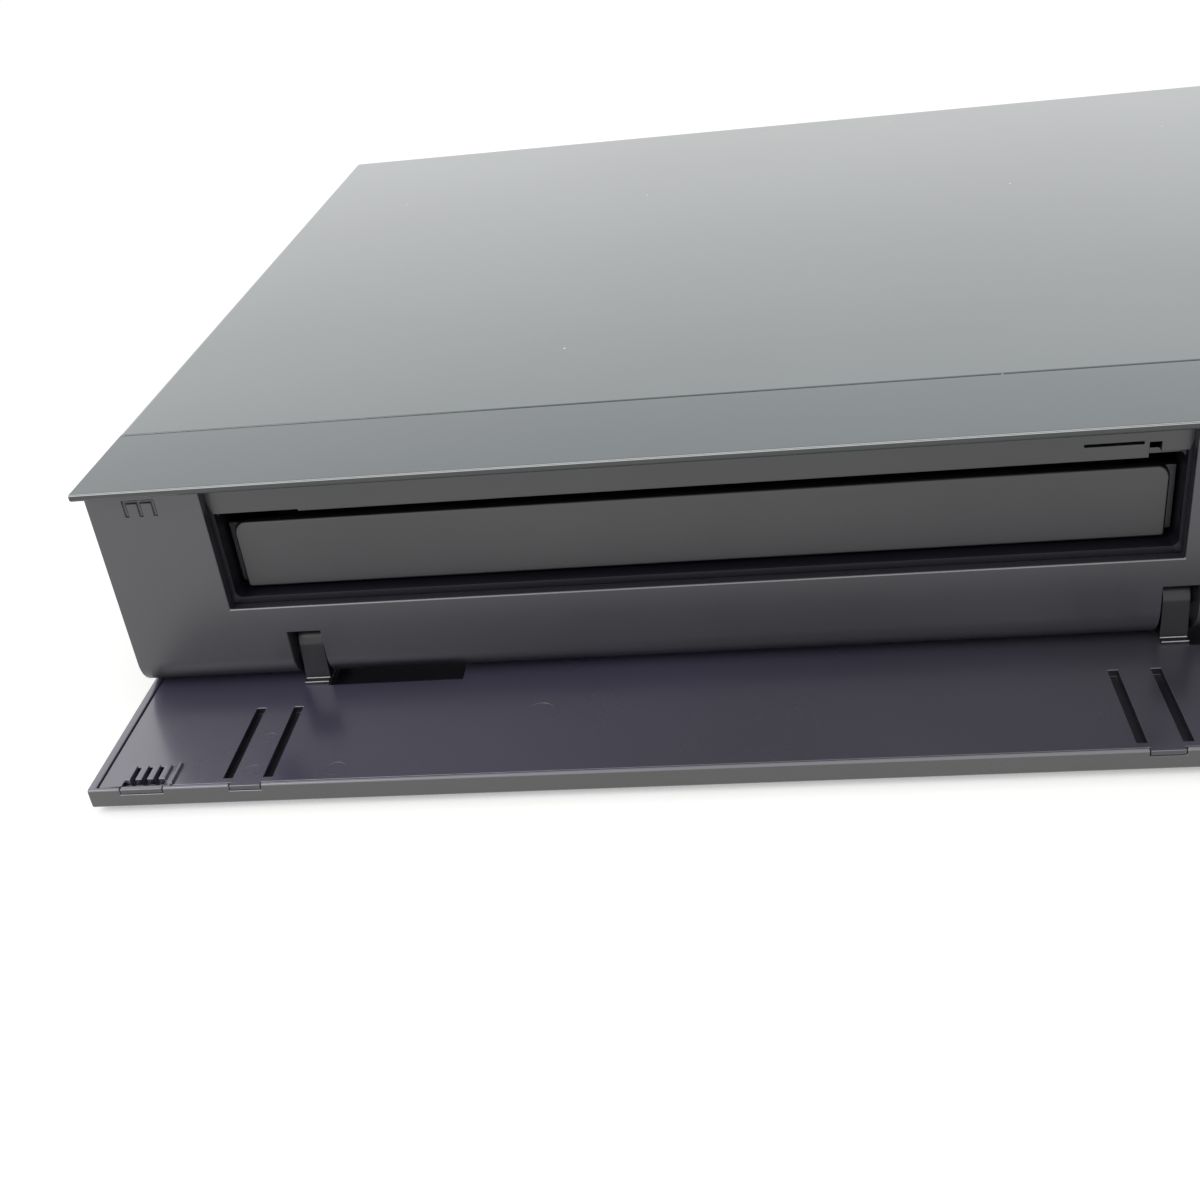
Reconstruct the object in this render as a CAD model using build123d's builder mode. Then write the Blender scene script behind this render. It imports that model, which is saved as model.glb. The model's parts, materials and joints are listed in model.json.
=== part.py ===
"""Slim disc recorder with a fold-down front door and a motor-driven disc tray.

Millimetres, +Z up, the front faces -Y. The origin is on the table, under the
middle of the recorder as it stands with its door folded down. A setback is a
distance behind the front edge of the top strip, the lip.
"""
import os
from math import acos, atan2, cos, hypot, pi, radians, sin, tan

from build123d import *

os.makedirs("parts", exist_ok=True)

# Overall size, and the gaps that every piece keeps
case_width = 430.0
case_depth = 199.5
case_height = 44.6
sheet = 0.8
fit_gap = 0.3
running_fit = 0.05
cutter = 1.0

# Top strip, with its two buttons
strip_overhang = 0.6
strip_depth = 21.9
strip_seam = 0.35
lip_thickness = 1.25
lip_chamfer = 0.25
clip_height = 2.4
button_size = (14.0, 7.0)
button_gap = 0.25
button_places = {"eject_button": 164.0, "power_button": 188.0}
button_setback = 11.5
button_travel = 0.8
button_cap = 2.6
button_flange = 1.0
button_stem_radius = 1.5

# Fold-down door and its hinge arms
door_thickness = 3.5
door_standoff = 6.2
door_table_gap = 1.2
door_tail = 4.8
door_tail_round = 2.6
door_rim = 1.4
door_front_rim = 0.7
door_skin = 1.7
door_chamfer = 0.3
liner_gap = 0.2
liner_inset = 0.15
arm_span = 139.0
arm_offset = 114.8
arm_width = 4.2
arm_eye_radius = 3.5
arm_toe = 5.2
arm_toe_height = 0.5
arm_shin = 4.0
arm_heel = 4.0
arm_side_gap = 0.7
arm_slot_back_gap = 1.2
trunnion_radius = 1.6
trunnion_end_gap = 0.2
cheek_wall = 1.6
arm_pocket = (23.0, 5.6, 1.4)

# What the door's liner carries: stop grooves, tongues through the front rim, and the catch
groove_places = [-189.0, -53.0, 53.0, 189.0]
groove_width = 1.5
groove_span = 6.4
groove_setin = 1.2
groove_length = 18.5
groove_depth = 1.2
tongue_height = 1.0
tongue_gap = 0.1
catch_width = 6.8
catch_length = 4.7
catch_depth = 0.8
catch_height = 0.4
catch_teeth = 4
catch_tooth = 1.1
catch_rib = (1.3, 0.5, 5.2)

# Front panel and its openings
panel_setback = 4.2
panel_wall = 2.0
panel_depth = 21.7
opening_x = -120.5
opening_width = 150.2
opening_height = 21.9
opening_top_band = 1.3
comb_from_end = 8.7
comb_width = 5.25
comb_drop = 2.65
comb_height = 2.9
comb_groove = 0.5
comb_depth = 0.4
window_x = (-20.0, 70.0)
window_z = (19.0, 38.0)
window_round = 2.0
usb_x, usb_z = 123.0, 24.3
usb_mouth = (14.0, 6.6)
front_usb_end = 20.0
card_x, card_z = 167.0, 22.9
card_slot = (56.0, 2.6)

# Top cover, its screws and the feet
cover_flange = 7.0
bend_radius = 1.2
side_screw_places = (24.0, 30.0)
side_screw_height = 8.0
back_screws = [-150.0, 0.0, 150.0]
back_screw_drop = 4.2
screw_radius = 1.4
screw_hole_radius = 1.65
screw_head_radius = 2.9
screw_head = 1.6
screw_head_taper = 12.0
screw_length = 4.0
foot_places = {
    "foot_front_left": (-185.0, 40.0), "foot_front_right": (185.0, 40.0),
    "foot_rear_left": (-185.0, 176.0), "foot_rear_right": (185.0, 176.0),
}
foot_radius = 9.0
foot_tread = 7.5
foot_step = 1.5

# Bottom chassis
pan_flange = 14.0
spacer_radius = 4.0
board_spacer_inset = 5.0
main_spacer_places = (58.0, 40.0)
power_spacer_places = (98.0, 70.0)
hdd_spacer_inset = (6.0, 9.0)
frame_spacer_inset = 6.0
frame_spacer_front = 16.0
vent_slot = (24.0, 3.0)
vent_pitch = 9.0
vent_count = 8
vent_places = [(24.0, 158.0), (166.0, 140.0)]

# Rear panel and its sockets
panel_flange = 6.0
socket_gap = 0.4
socket_proud = 0.6
terminal_length = 10.0
terminal_radius = 4.75
terminal_collar = 0.2
terminal_bore = (1.0, 7.0)
antenna_places = [-14.0, 0.0, 14.0, 28.0]
antenna_z = 21.0
tuner_x = (-22.0, 36.0)
tuner_setback = 150.0
tuner_rise = 9.0
tuner_lid = (3.0, 0.4)
lan_x, lan_size, lan_length = 52.0, (16.0, 13.5), 22.0
lan_mouth, lan_key = (11.8, 8.2), (6.0, 2.0)
lan_depth = 12.0
hdmi_x, hdmi_size, hdmi_length = 73.5, (15.0, 5.8), 12.0
hdmi_mouth, hdmi_depth = (14.0, 4.4), 9.0
hdmi_corner = (1.8, 1.6)
hdmi_tongue = (11.0, 1.2)
rear_usb_x, rear_usb_size, rear_usb_length = 95.0, (14.0, 7.0), 16.0
usb_wall = 0.5
usb_tongue = (1.7, 0.9)
usb_back_wall = 2.0
socket_tongue_inset = 1.0
inlet_x, inlet_z, inlet_size, inlet_length = 190.0, 20.0, (25.0, 14.0), 16.0
inlet_mouth, inlet_depth = (16.0, 8.4), 11.0
pin_spacing, pin_radius, pin_recess = 8.6, 1.2, 1.5
inlet_foot = 6.0

# Cooling fan against the rear grille
fan_x = -66.0
fan_size = 35.0
fan_depth = 10.0
fan_bore = 16.2
fan_hub = 9.5
fan_plate = 1.5
fan_strut = 2.0
fan_round = 2.0
fan_tip_gap = 1.2
fan_front_gap = 0.5
blade_count = 7
blade_size = (1.1, 8.0)
blade_pitch = 35.0
blade_root = 1.0
grille_slot = (9.0, 3.0)
grille_radius = 9.0
grille_count = 8
grille_hole = 1.4
grille_hole_radius = 3.2
grille_hole_count = 4

# Disc tray, its plate and the frame round the plate
drive_x = -120.4
plate_width = 145.6
plate_height = 12.0
plate_thickness = 2.5
plate_face = 1.5
plate_flange = 1.2
plate_flange_inset = 0.6
plate_setback = 8.3
plate_round = 2.0
plate_foot_round = 0.6
plate_chamfer = 0.25
plate_base_z = 21.9
tray_width = 129.0
tray_length = 166.0
tray_under_z = 26.5
tray_height = 5.5
tray_corner = 6.0
disc_radius = 60.0
small_disc_radius = 40.0
disc_slack = 0.5
disc_recess = 1.6
small_disc_recess = 1.4
disc_from_plate = 66.2
finger_place = 44.0
finger_radius = 12.0
spindle_hole = 19.0
pickup_slot = (48.0, 76.0)
pickup_slot_round = 5.0
surround_overlap = 1.5
surround_plate = 1.4
surround_bar_drop = 8.2
surround_side_slack = 0.4
surround_base_slack = 0.6
surround_collar = 4.6
surround_collar_wall = 1.0
surround_round = 1.0
bar_left_step = (13.8, 0.3)
bar_right_step = (5.6, 0.9)
bar_notch = (1.7, 2.5)
bar_slit = (8.5, 0.4, 0.8)
bar_slit_gap = 0.8

# Drive frame
frame_setback = 16.2
frame_length = 164.5
frame_wall = 3.0
frame_end_wall = 2.0
frame_base_z = 8.5
frame_floor = 2.0
frame_top_z = 33.5
frame_round = 1.5
frame_side_gap = 0.5
ledge_width = 4.0
ledge_height = 2.0
tub_opening_half = 42.0
tub_opening = (52.0, 152.0)
guide_tabs = [22.0, 90.0, 158.0]
guide_tab_size = (2.4, 10.0)
gear_post_radius = 2.0
gear_seat_radius = 5.0
gear_post_gap = 0.8

# Loading gear train
gear_module = 1.0
gear_teeth = 24
pressure_angle = 20.0
backlash = 0.16
gear_clearance = 0.25
flank_steps = 4
gear_height = 3.2
gear_lift = 0.1
gear_boss_radius = 6.0
gear_setback = 33.5
rack_from_middle = 54.0
rack_width = 5.0
rack_height = 3.9
rack_ends_behind_plate = (9.0, 165.0)
rack_end_land = 2.0
pulley_radius = 14.0
pulley_root = 12.2
motor_pulley_radius = 5.0
motor_pulley_root = 3.2
pulley_height = 3.0
pulley_z = 18.5
belt_size = 1.2
belt_reach = 34.0
motor_can_radius = 12.0
motor_can_round = 1.0
motor_can_gap = 1.0
motor_shaft = 1.0
motor_shaft_length = 5.0

# Traverse: the metal frame that carries the spindle and the laser pickup
traverse_z = 12.0
traverse_sheet = 1.2
traverse_half = 47.0
traverse_setback = 48.0
traverse_length = 108.0
traverse_round = 3.0
damper_radius = 3.0
damper_x = 43.5
damper_inset = 2.0
rod_radius = 1.5
rod_x = 28.0
rod_z = 16.9
rod_setback = 88.0
rod_length = 62.0
rod_window = 3.0
holder_half = 2.6
holder_depth = 4.0
lead_screw_x = 38.0
lead_screw_z = 19.2
lead_screw_radius = 1.5
screw_block = (6.0, 2.5)
screw_motor_setback = 70.0
screw_motor_end = 2.0
spindle_radius = 12.0
spindle_base = (13.5, 1.0)
spindle_round = 0.8
spindle_top_z = 21.9
turntable_radius = 14.5
turntable_rim = 1.8
hub_radius = 7.4
hub_height = 3.8
hub_cone = (1.6, 1.2)
pickup_setback = 92.0
pickup_length = 24.0
pickup_half = 30.6
pickup_z = (14.2, 21.5)
pickup_cap = (20.0, 1.6)
pickup_round = 1.5
pickup_nut = (12.0, 8.0, 2.4)
lens_radius = 3.2
lens_collar = 1.4
lens_step = 0.6
lens_from_front = 10.0

# Clamp bridge over the tray and its magnetic clamper
bridge_z = 37.5
bridge_inset = 0.6
bridge_setback = 52.0
bridge_length = 50.0
clamp_neck = 12.4
clamp_rim = 15.5
clamp_rims = (2.0, 1.6)
clamp_slack = 0.4
clamp_lift = 1.2
clamp_recess = 0.5

# Boards and what stands on them: middle, setback of the middle, width, length and height
board_thickness = 1.6
board_z = 9.0
main_board_x = (-28.0, 118.0)
main_board_setback = 128.0
main_chip = (80.0, 152.0, 30.0, 30.0, 2.4)
memory_chips = [(x, 133.0, 10.0, 6.0, 1.2) for x in (44.0, 58.0, 72.0)]
board_connector = (109.0, 150.0, 10.0, 32.0, 7.0)
sink_size = (80.0, 155.0, 36.0, 36.0, 2.5)
fin_count = 9
fin_size = (1.2, 11.0)
power_board_x = (124.0, 208.0)
power_board_setback = 84.0
power_board_end_gap = 6.0
line_filter = (140.0, 96.0, 20.0, 10.0, 9.0)
choke = (192.0, 100.0, 8.0, 12.0)
transformer_place = (160.0, 130.0)
ferrite = (22.0, 30.0, 3.0)
winding = (28.0, 9.0, 6.0)
bobbin = (16.0, 20.0, 14.0)
winding_lift = 7.0
capacitor_places = [
    (136.0, 160.0, 9.0, 25.0), (136.0, 122.0, 5.0, 16.0),
    (160.0, 104.0, 5.0, 16.0), (150.0, 152.0, 3.5, 12.0),
]
power_sink_x = (170.0, 184.5)
power_sink_setbacks = (112.0, 160.5)
power_sink_wall = 2.5
power_sink_height = 24.0
io_board_x = (117.0, 204.0)
io_board_setback = 8.5
io_board_length = 66.0
io_board_z = 18.0
io_spacer_places = [(x, back) for x in (124.0, 198.0) for back in (28.0, 68.0)]
reader_size = (62.0, 61.5, 6.4)
reader_slot = (55.0, 57.5, 1.6)
button_board_x = (152.0, 200.0)
button_board_z = 34.5
button_board_back_gap = 2.7
switch_size = (6.0, 1.8, 2.4)
display_board_gap = 5.4
lens_skirt = (1.5, 1.0)
lens_gap = 0.2
display_margin = (4.0, 14.0, 2.0)
front_board_margin = (8.0, 16.0, 2.0)
front_board_lift = 12.0
display_cable = (8.0, 1.8, 10.0)
drive_board_half = 40.0
drive_board_setback = 157.5
drive_chip = (-19.0, 164.0, 22.0, 8.0, 3.4)

# Hard disk on rubber dampers over its bent bracket
hdd_size = (147.0, 101.6, 26.1)
hdd_place = (-34.0, 22.0)
hdd_round = 3.0
hdd_lid = (3.0, 2.0)
hdd_damper_radius = 5.0
hdd_damper_height = 2.4
hdd_damper_inset = (8.0, 9.0)
bracket_sheet = 1.0
bracket_margin = 3.0
bracket_window = 20.0
bracket_ear = (10.0, 12.0)

# Derived places that many pieces share
top_z = case_height
hinge_z = door_thickness + door_standoff + door_table_gap
nose_drop = door_standoff - fit_gap
base_z = hinge_z - nose_drop
floor_z = base_z + sheet
lip_under_z = top_z - lip_thickness
hinge_back = door_thickness + door_standoff
nose_reach = hinge_back - panel_setback
door_length = lip_under_z - fit_gap - hinge_z
door_reach = door_length - hinge_back
back_inset = sheet + fit_gap
back_reach = case_depth - back_inset + terminal_length
lip_y = (door_reach - back_reach) / 2
hinge_y = lip_y + hinge_back
face_y = lip_y + panel_setback
panel_back_y = lip_y + panel_depth
cover_front_y = lip_y + strip_depth + strip_seam
case_back_y = lip_y + case_depth
back_face_y = case_back_y - back_inset
back_inner_y = back_face_y - sheet
socket_y = back_face_y + socket_proud
strip_half = case_width / 2 - strip_overhang
cover_half = case_width / 2
pan_half = cover_half - sheet - fit_gap
cover_under_z = top_z - sheet
opening_top_z = lip_under_z - opening_top_band
opening_base_z = opening_top_z - opening_height
board_top_z = board_z + board_thickness
io_board_top_z = io_board_z + board_thickness
arm_places = [side * arm_offset + end * arm_span / 2 for side in (-1, 1) for end in (-1, 1)]
arm_slot = arm_width + 2 * arm_side_gap
comb_x = comb_from_end - strip_half
side_screws = [cover_front_y + side_screw_places[0], case_back_y - side_screw_places[1]]
side_screw_z = base_z + side_screw_height
back_screw_z = top_z - back_screw_drop
fan_z = floor_z + fan_size / 2
fan_back_y = back_inner_y - fit_gap
fan_front_y = fan_back_y - fan_depth
tray_front_y = lip_y + plate_setback + plate_thickness
tray_top_z = tray_under_z + tray_height
disc_y = tray_front_y + disc_from_plate
frame_y = lip_y + frame_setback
frame_back_y = frame_y + frame_length
frame_inner = tray_width / 2 + frame_side_gap
frame_outer = frame_inner + frame_wall
frame_floor_z = frame_base_z + frame_floor
rack_pitch_x = drive_x - rack_from_middle
gear_pitch_radius = gear_module * gear_teeth / 2
gear_x = rack_pitch_x + gear_pitch_radius
gear_y = lip_y + gear_setback
motor_x = gear_x + belt_reach
traverse_top_z = traverse_z + traverse_sheet
hdd_x = (hdd_place[0], hdd_place[0] + hdd_size[0])
hdd_y = (lip_y + hdd_place[1], lip_y + hdd_place[1] + hdd_size[1])
hdd_z = board_z + bracket_sheet + hdd_damper_height


def block(x, y, z, mode=Mode.ADD):
    """Adds or cuts a rectangular block, given the two ends of each of its sides."""
    sizes = [high - low for low, high in (x, y, z)]
    centre = [(high + low) / 2 for low, high in (x, y, z)]
    with Locations(tuple(centre)):
        Box(*sizes, mode=mode)


def post(x, y, z, radius, mode=Mode.ADD):
    """Adds or cuts an upright cylinder between two heights."""
    with Locations((x, y, z[0])):
        Cylinder(radius, z[1] - z[0], align=(Align.CENTER, Align.CENTER, Align.MIN), mode=mode)


def rod(x, y, z, radius, mode=Mode.ADD):
    """Adds or cuts a cylinder along Y between two depths."""
    with Locations(Location((x, y[0], z), (-90, 0, 0))):
        Cylinder(radius, y[1] - y[0], align=(Align.CENTER, Align.CENTER, Align.MIN), mode=mode)


def axle(x, y, z, radius, mode=Mode.ADD):
    """Adds or cuts a cylinder along X between two sides."""
    with Locations(Location((x[0], y, z), (0, 90, 0))):
        Cylinder(radius, x[1] - x[0], align=(Align.CENTER, Align.CENTER, Align.MIN), mode=mode)


def around(centre, size):
    """The two ends of a side of this size about its centre."""
    return centre - size / 2, centre + size / 2


def behind(*setbacks):
    """Places along Y at these setbacks."""
    return tuple(lip_y + setback for setback in setbacks)


def widened(ends, by):
    """Both ends of a side moved outwards by a distance."""
    return ends[0] - by, ends[1] + by


def component(base, x, setback, width, length, height):
    """Adds a box-shaped component on a board, by the middle of its foot."""
    block(around(x, width), around(lip_y + setback, length), (base, base + height))


# Front panel: one moulding with a wall, a rounded nose under the door and a bottom lip
def nose_outline(wall):
    """Closed y-z outline of the panel's section, set in from its outside by a wall."""
    radius = nose_reach - wall
    centre_z = base_z + nose_reach
    heel = (hinge_y - radius, centre_z)
    middle = (hinge_y - radius * cos(pi / 4), centre_z - radius * sin(pi / 4))
    toe = (hinge_y, centre_z - radius)
    back = panel_back_y + wall
    ceiling = lip_under_z + wall
    ThreePointArc(heel, middle, toe)
    Polyline(toe, (back, toe[1]), (back, ceiling), (heel[0], ceiling), heel)


with BuildPart() as front_panel:
    with BuildSketch(Plane.YZ.offset(-strip_half)):
        with BuildLine():
            nose_outline(0)
        make_face()
    extrude(amount=2 * strip_half)
    with BuildSketch(Plane.YZ.offset(-strip_half + panel_wall)):
        with BuildLine():
            nose_outline(panel_wall)
        make_face()
    extrude(amount=2 * (strip_half - panel_wall), mode=Mode.SUBTRACT)
    slot_top_z = hinge_z + arm_shin + fit_gap
    slot_back_y = hinge_y + door_tail + arm_slot_back_gap
    for arm_x in arm_places:
        block(around(arm_x, arm_slot + 2 * cheek_wall), (face_y + panel_wall - fit_gap, slot_back_y),
              (base_z + panel_wall, slot_top_z))
        block(around(arm_x, arm_slot), (face_y - cutter, slot_back_y), (base_z - cutter, slot_top_z),
              Mode.SUBTRACT)
        axle(around(arm_x, arm_slot + 2 * cheek_wall), hinge_y, hinge_z, trunnion_radius + running_fit,
             Mode.SUBTRACT)
    with BuildSketch(Plane.XZ.offset(-face_y)):
        with Locations((opening_x, (opening_base_z + opening_top_z) / 2)):
            Rectangle(opening_width, opening_height)
        with Locations((sum(window_x) / 2, sum(window_z) / 2)):
            RectangleRounded(window_x[1] - window_x[0], window_z[1] - window_z[0], window_round)
        with Locations((usb_x, usb_z)):
            Rectangle(*usb_mouth)
        with Locations((card_x, card_z)):
            SlotOverall(*card_slot)
    extrude(amount=-panel_wall, mode=Mode.SUBTRACT)
    comb_top_z = lip_under_z - comb_drop + comb_groove / 2
    block(around(comb_x, comb_width), (face_y, face_y + comb_depth),
          (comb_top_z - comb_groove, comb_top_z), Mode.SUBTRACT)
    for step in (-1, 0, 1):
        leg_x = comb_x + step * (comb_width - comb_groove) / 2
        block(around(leg_x, comb_groove), (face_y, face_y + comb_depth),
              (comb_top_z - comb_height, comb_top_z), Mode.SUBTRACT)
front_panel.part.label = "front_panel"
export_step(front_panel.part, "parts/front_panel.step")


# Top strip: a flat extrusion that overhangs the panel, with a clip flange at its back
button_y = lip_y + button_setback

with BuildPart() as top_strip:
    strip_back_y = lip_y + strip_depth
    clip_y = strip_back_y - lip_thickness
    clip_z = lip_under_z - clip_height
    with BuildSketch(Plane.YZ.offset(-strip_half)):
        with BuildLine():
            Polyline((lip_y, lip_under_z), (lip_y, top_z), (strip_back_y, top_z), (strip_back_y, clip_z),
                     (clip_y, clip_z), (clip_y, lip_under_z), close=True)
        make_face()
    extrude(amount=2 * strip_half)
    chamfer(top_strip.edges().filter_by(Axis.X).group_by(Axis.Y)[0], lip_chamfer)
    for side in (-1, 1):
        clip_end = sorted((side * strip_half, side * (strip_half - panel_wall - fit_gap)))
        block(clip_end, (clip_y - cutter, strip_back_y), (clip_z, lip_under_z), Mode.SUBTRACT)
    with BuildSketch(Plane.XY.offset(lip_under_z)):
        for button_x in button_places.values():
            with Locations((button_x, button_y)):
                SlotOverall(button_size[0] + 2 * button_gap, button_size[1] + 2 * button_gap)
    extrude(amount=lip_thickness, mode=Mode.SUBTRACT)
top_strip.part.label = "top_strip"
export_step(top_strip.part, "parts/top_strip.step")


# Top cover: one sheet bent down at both sides and at the back
with BuildPart() as top_cover:
    cover_bottom_z = base_z + fit_gap
    with BuildSketch(Plane.XZ.offset(-cover_front_y)):
        with BuildLine():
            for inset in (0, sheet):
                side_x = cover_half - inset
                FilletPolyline(
                    (-side_x, cover_bottom_z), (-side_x, top_z - inset),
                    (side_x, top_z - inset), (side_x, cover_bottom_z),
                    radius=bend_radius - inset,
                )
            for side in (-1, 1):
                Line((side * cover_half, cover_bottom_z), (side * (cover_half - sheet), cover_bottom_z))
        make_face()
    extrude(amount=-(case_back_y - cover_front_y))
    block((-cover_half + sheet, cover_half - sheet), (case_back_y - sheet, case_back_y),
          (top_z - cover_flange, top_z - sheet))
    for screw_y in side_screws:
        axle(widened((-cover_half, cover_half), cutter), screw_y, side_screw_z, screw_hole_radius,
             Mode.SUBTRACT)
    for screw_x in back_screws:
        rod(screw_x, widened((case_back_y - sheet, case_back_y), sheet), back_screw_z, screw_hole_radius,
            Mode.SUBTRACT)
top_cover.part.label = "top_cover"
export_step(top_cover.part, "parts/top_cover.step")


# Bottom chassis: a steel pan with side flanges, spacers for the boards and cooling slots
spacers = [(place, io_board_z) for place in io_spacer_places]
for sides, setback, far_places in (
    (main_board_x, main_board_setback, main_spacer_places),
    (power_board_x, power_board_setback, power_spacer_places),
):
    for x, far in zip(widened(sides, -board_spacer_inset), far_places):
        spacers += [((x, setback + place), board_z) for place in (board_spacer_inset, far)]
for x in widened(hdd_x, -hdd_spacer_inset[0]):
    for y in widened(hdd_y, -hdd_spacer_inset[1]):
        spacers.append(((x, y - lip_y), board_z))
for side in (-1, 1):
    for place in (frame_spacer_front, frame_length - frame_spacer_inset):
        x = drive_x + side * (frame_outer - frame_spacer_inset)
        spacers.append(((x, frame_setback + place), frame_base_z))

with BuildPart() as bottom_chassis:
    pan_front_y = panel_back_y + fit_gap
    flange_z = base_z + pan_flange
    with BuildSketch(Plane.XZ.offset(-pan_front_y)):
        with BuildLine():
            Polyline(
                (-pan_half, flange_z), (-pan_half, base_z), (pan_half, base_z), (pan_half, flange_z),
                (pan_half - sheet, flange_z), (pan_half - sheet, floor_z), (sheet - pan_half, floor_z),
                (sheet - pan_half, flange_z), close=True,
            )
        make_face()
    extrude(amount=-(back_face_y - pan_front_y))
    for (x, setback), top in spacers:
        post(x, lip_y + setback, (floor_z, top), spacer_radius)
    with BuildSketch(Plane.XY.offset(base_z)):
        with Locations(*[(x, lip_y + setback) for x, setback in vent_places]):
            with GridLocations(vent_pitch, 0, vent_count, 1):
                SlotOverall(*vent_slot, rotation=90)
    extrude(amount=sheet, mode=Mode.SUBTRACT)
    for screw_y in side_screws:
        axle(widened((-pan_half, pan_half), cutter), screw_y, side_screw_z, screw_hole_radius, Mode.SUBTRACT)
bottom_chassis.part.label = "bottom_chassis"
export_step(bottom_chassis.part, "parts/bottom_chassis.step")


# Feet: four rubber discs, a little narrower where they touch the table
for foot_name, (foot_x, foot_setback) in foot_places.items():
    with BuildPart() as foot:
        foot_y = lip_y + foot_setback
        with BuildSketch(Plane.XZ.offset(-foot_y)):
            with BuildLine():
                Polyline((foot_x, 0), (foot_x + foot_tread, 0), (foot_x + foot_radius, foot_step),
                         (foot_x + foot_radius, base_z), (foot_x, base_z), close=True)
            make_face()
        revolve(axis=Axis((foot_x, foot_y, 0), (0, 0, 1)))
    foot.part.label = foot_name
    export_step(foot.part, f"parts/{foot_name}.step")


# Rear panel: a steel plate with an opening for each socket and for the fan
with BuildPart() as rear_panel:
    rear_half = pan_half - sheet - fit_gap
    block((-rear_half, rear_half), (back_inner_y, back_face_y), (floor_z, cover_under_z - fit_gap))
    block((-rear_half, fan_x - fan_size / 2 - spacer_radius), (back_inner_y - panel_flange, back_inner_y),
          (floor_z, floor_z + sheet))
    with BuildSketch(Plane.XZ.offset(-back_inner_y)):
        with Locations((fan_x, fan_z)):
            with PolarLocations(grille_radius, grille_count):
                SlotOverall(*grille_slot)
            with PolarLocations(grille_hole_radius, grille_hole_count):
                Circle(grille_hole)
        with Locations(*[(x, antenna_z) for x in antenna_places]):
            Circle(terminal_radius + socket_gap)
        for x, size in ((lan_x, lan_size), (hdmi_x, hdmi_size), (rear_usb_x, rear_usb_size)):
            with Locations((x, board_top_z + size[1] / 2)):
                Rectangle(size[0] + 2 * socket_gap, size[1] + 2 * socket_gap)
        with Locations((inlet_x, inlet_z)):
            Rectangle(inlet_size[0] + 2 * socket_gap, inlet_size[1] + 2 * socket_gap)
    extrude(amount=-sheet, mode=Mode.SUBTRACT)
    for screw_x in back_screws:
        rod(screw_x, widened((back_inner_y, back_face_y), cutter), back_screw_z, screw_hole_radius,
            Mode.SUBTRACT)
rear_panel.part.label = "rear_panel"
export_step(rear_panel.part, "parts/rear_panel.step")


# Cover screws: pan heads outside the sheet, shanks through it
def screw(x, y, z, direction):
    """One screw with its head's underside at a point and its shank along a direction."""
    way = Vector(direction)
    seat = Vector(x, y, z)
    with BuildSketch(Plane(origin=seat, z_dir=way)) as shank:
        Circle(screw_radius)
    extrude(shank.sketch, amount=screw_length)
    with BuildSketch(Plane(origin=seat, z_dir=-way)) as head:
        Circle(screw_head_radius)
    extrude(head.sketch, amount=screw_head, taper=screw_head_taper)


with BuildPart() as cover_screws:
    for side in (-1, 1):
        for screw_y in side_screws:
            screw(side * cover_half, screw_y, side_screw_z, (-side, 0, 0))
    for screw_x in back_screws:
        screw(screw_x, case_back_y, back_screw_z, (0, -1, 0))
cover_screws.part.label = "cover_screws"
export_step(cover_screws.part, "parts/cover_screws.step")


# Tray surround: a dark frame behind the opening, with a deep bar above the tray's plate
with BuildPart() as tray_surround:
    surround_y = face_y + panel_wall
    window_half = plate_width / 2 + plate_flange + surround_side_slack
    window_sides = (drive_x - window_half, drive_x + window_half)
    window_base_z = plate_base_z - surround_base_slack
    window_top_z = top_z - surround_bar_drop
    window_size = (2 * window_half, window_top_z - window_base_z)
    window_middle = (drive_x, (window_base_z + window_top_z) / 2)
    plate_depths = (surround_y, surround_y + surround_plate)
    block(widened(around(opening_x, opening_width), surround_overlap), plate_depths,
          (opening_base_z - surround_overlap, lip_under_z))
    with BuildSketch(Plane.XZ.offset(-surround_y - surround_plate)):
        with Locations(window_middle):
            Rectangle(window_size[0] + 2 * surround_collar_wall, window_size[1] + 2 * surround_collar_wall)
    extrude(amount=-surround_collar)
    with BuildSketch(Plane.XZ.offset(-surround_y)):
        with Locations(window_middle):
            RectangleRounded(*window_size, surround_round)
    extrude(amount=-surround_plate - surround_collar, mode=Mode.SUBTRACT)
    notch_x = window_sides[1] - bar_right_step[0]
    block((window_sides[0], window_sides[0] + bar_left_step[0]), plate_depths,
          (window_middle[1], window_top_z + bar_left_step[1]), Mode.SUBTRACT)
    block((notch_x, window_sides[1]), plate_depths,
          (window_middle[1], window_top_z + bar_right_step[1]), Mode.SUBTRACT)
    block((notch_x, notch_x + bar_notch[0]), plate_depths,
          (window_middle[1], window_top_z + bar_notch[1]), Mode.SUBTRACT)
    slit_end = notch_x - bar_slit_gap
    block((slit_end - bar_slit[0], slit_end), (surround_y, surround_y + bar_slit[2]),
          around(window_top_z + bar_notch[1], bar_slit[1]), Mode.SUBTRACT)
tray_surround.part.label = "tray_surround"
export_step(tray_surround.part, "parts/tray_surround.step")


# Door, modelled folded down: an outer shell, an inner liner and four hinge arms
door_under_z = hinge_z - hinge_back
door_inner_z = door_under_z + door_thickness
door_front_y = lip_y - door_reach
door_back_y = hinge_y + door_tail
rim_back_y = door_front_y + door_front_rim
liner_half = strip_half - door_rim - liner_gap
liner_front_y = rim_back_y + liner_gap
liner_base_z = door_under_z + door_skin
liner_top_z = door_inner_z - liner_inset
tongue_base_z = door_inner_z - tongue_height
tongue_width = groove_span - groove_width
tongues = [(groove_x, tongue_width) for groove_x in groove_places] + [(comb_x, catch_width)]

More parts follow.
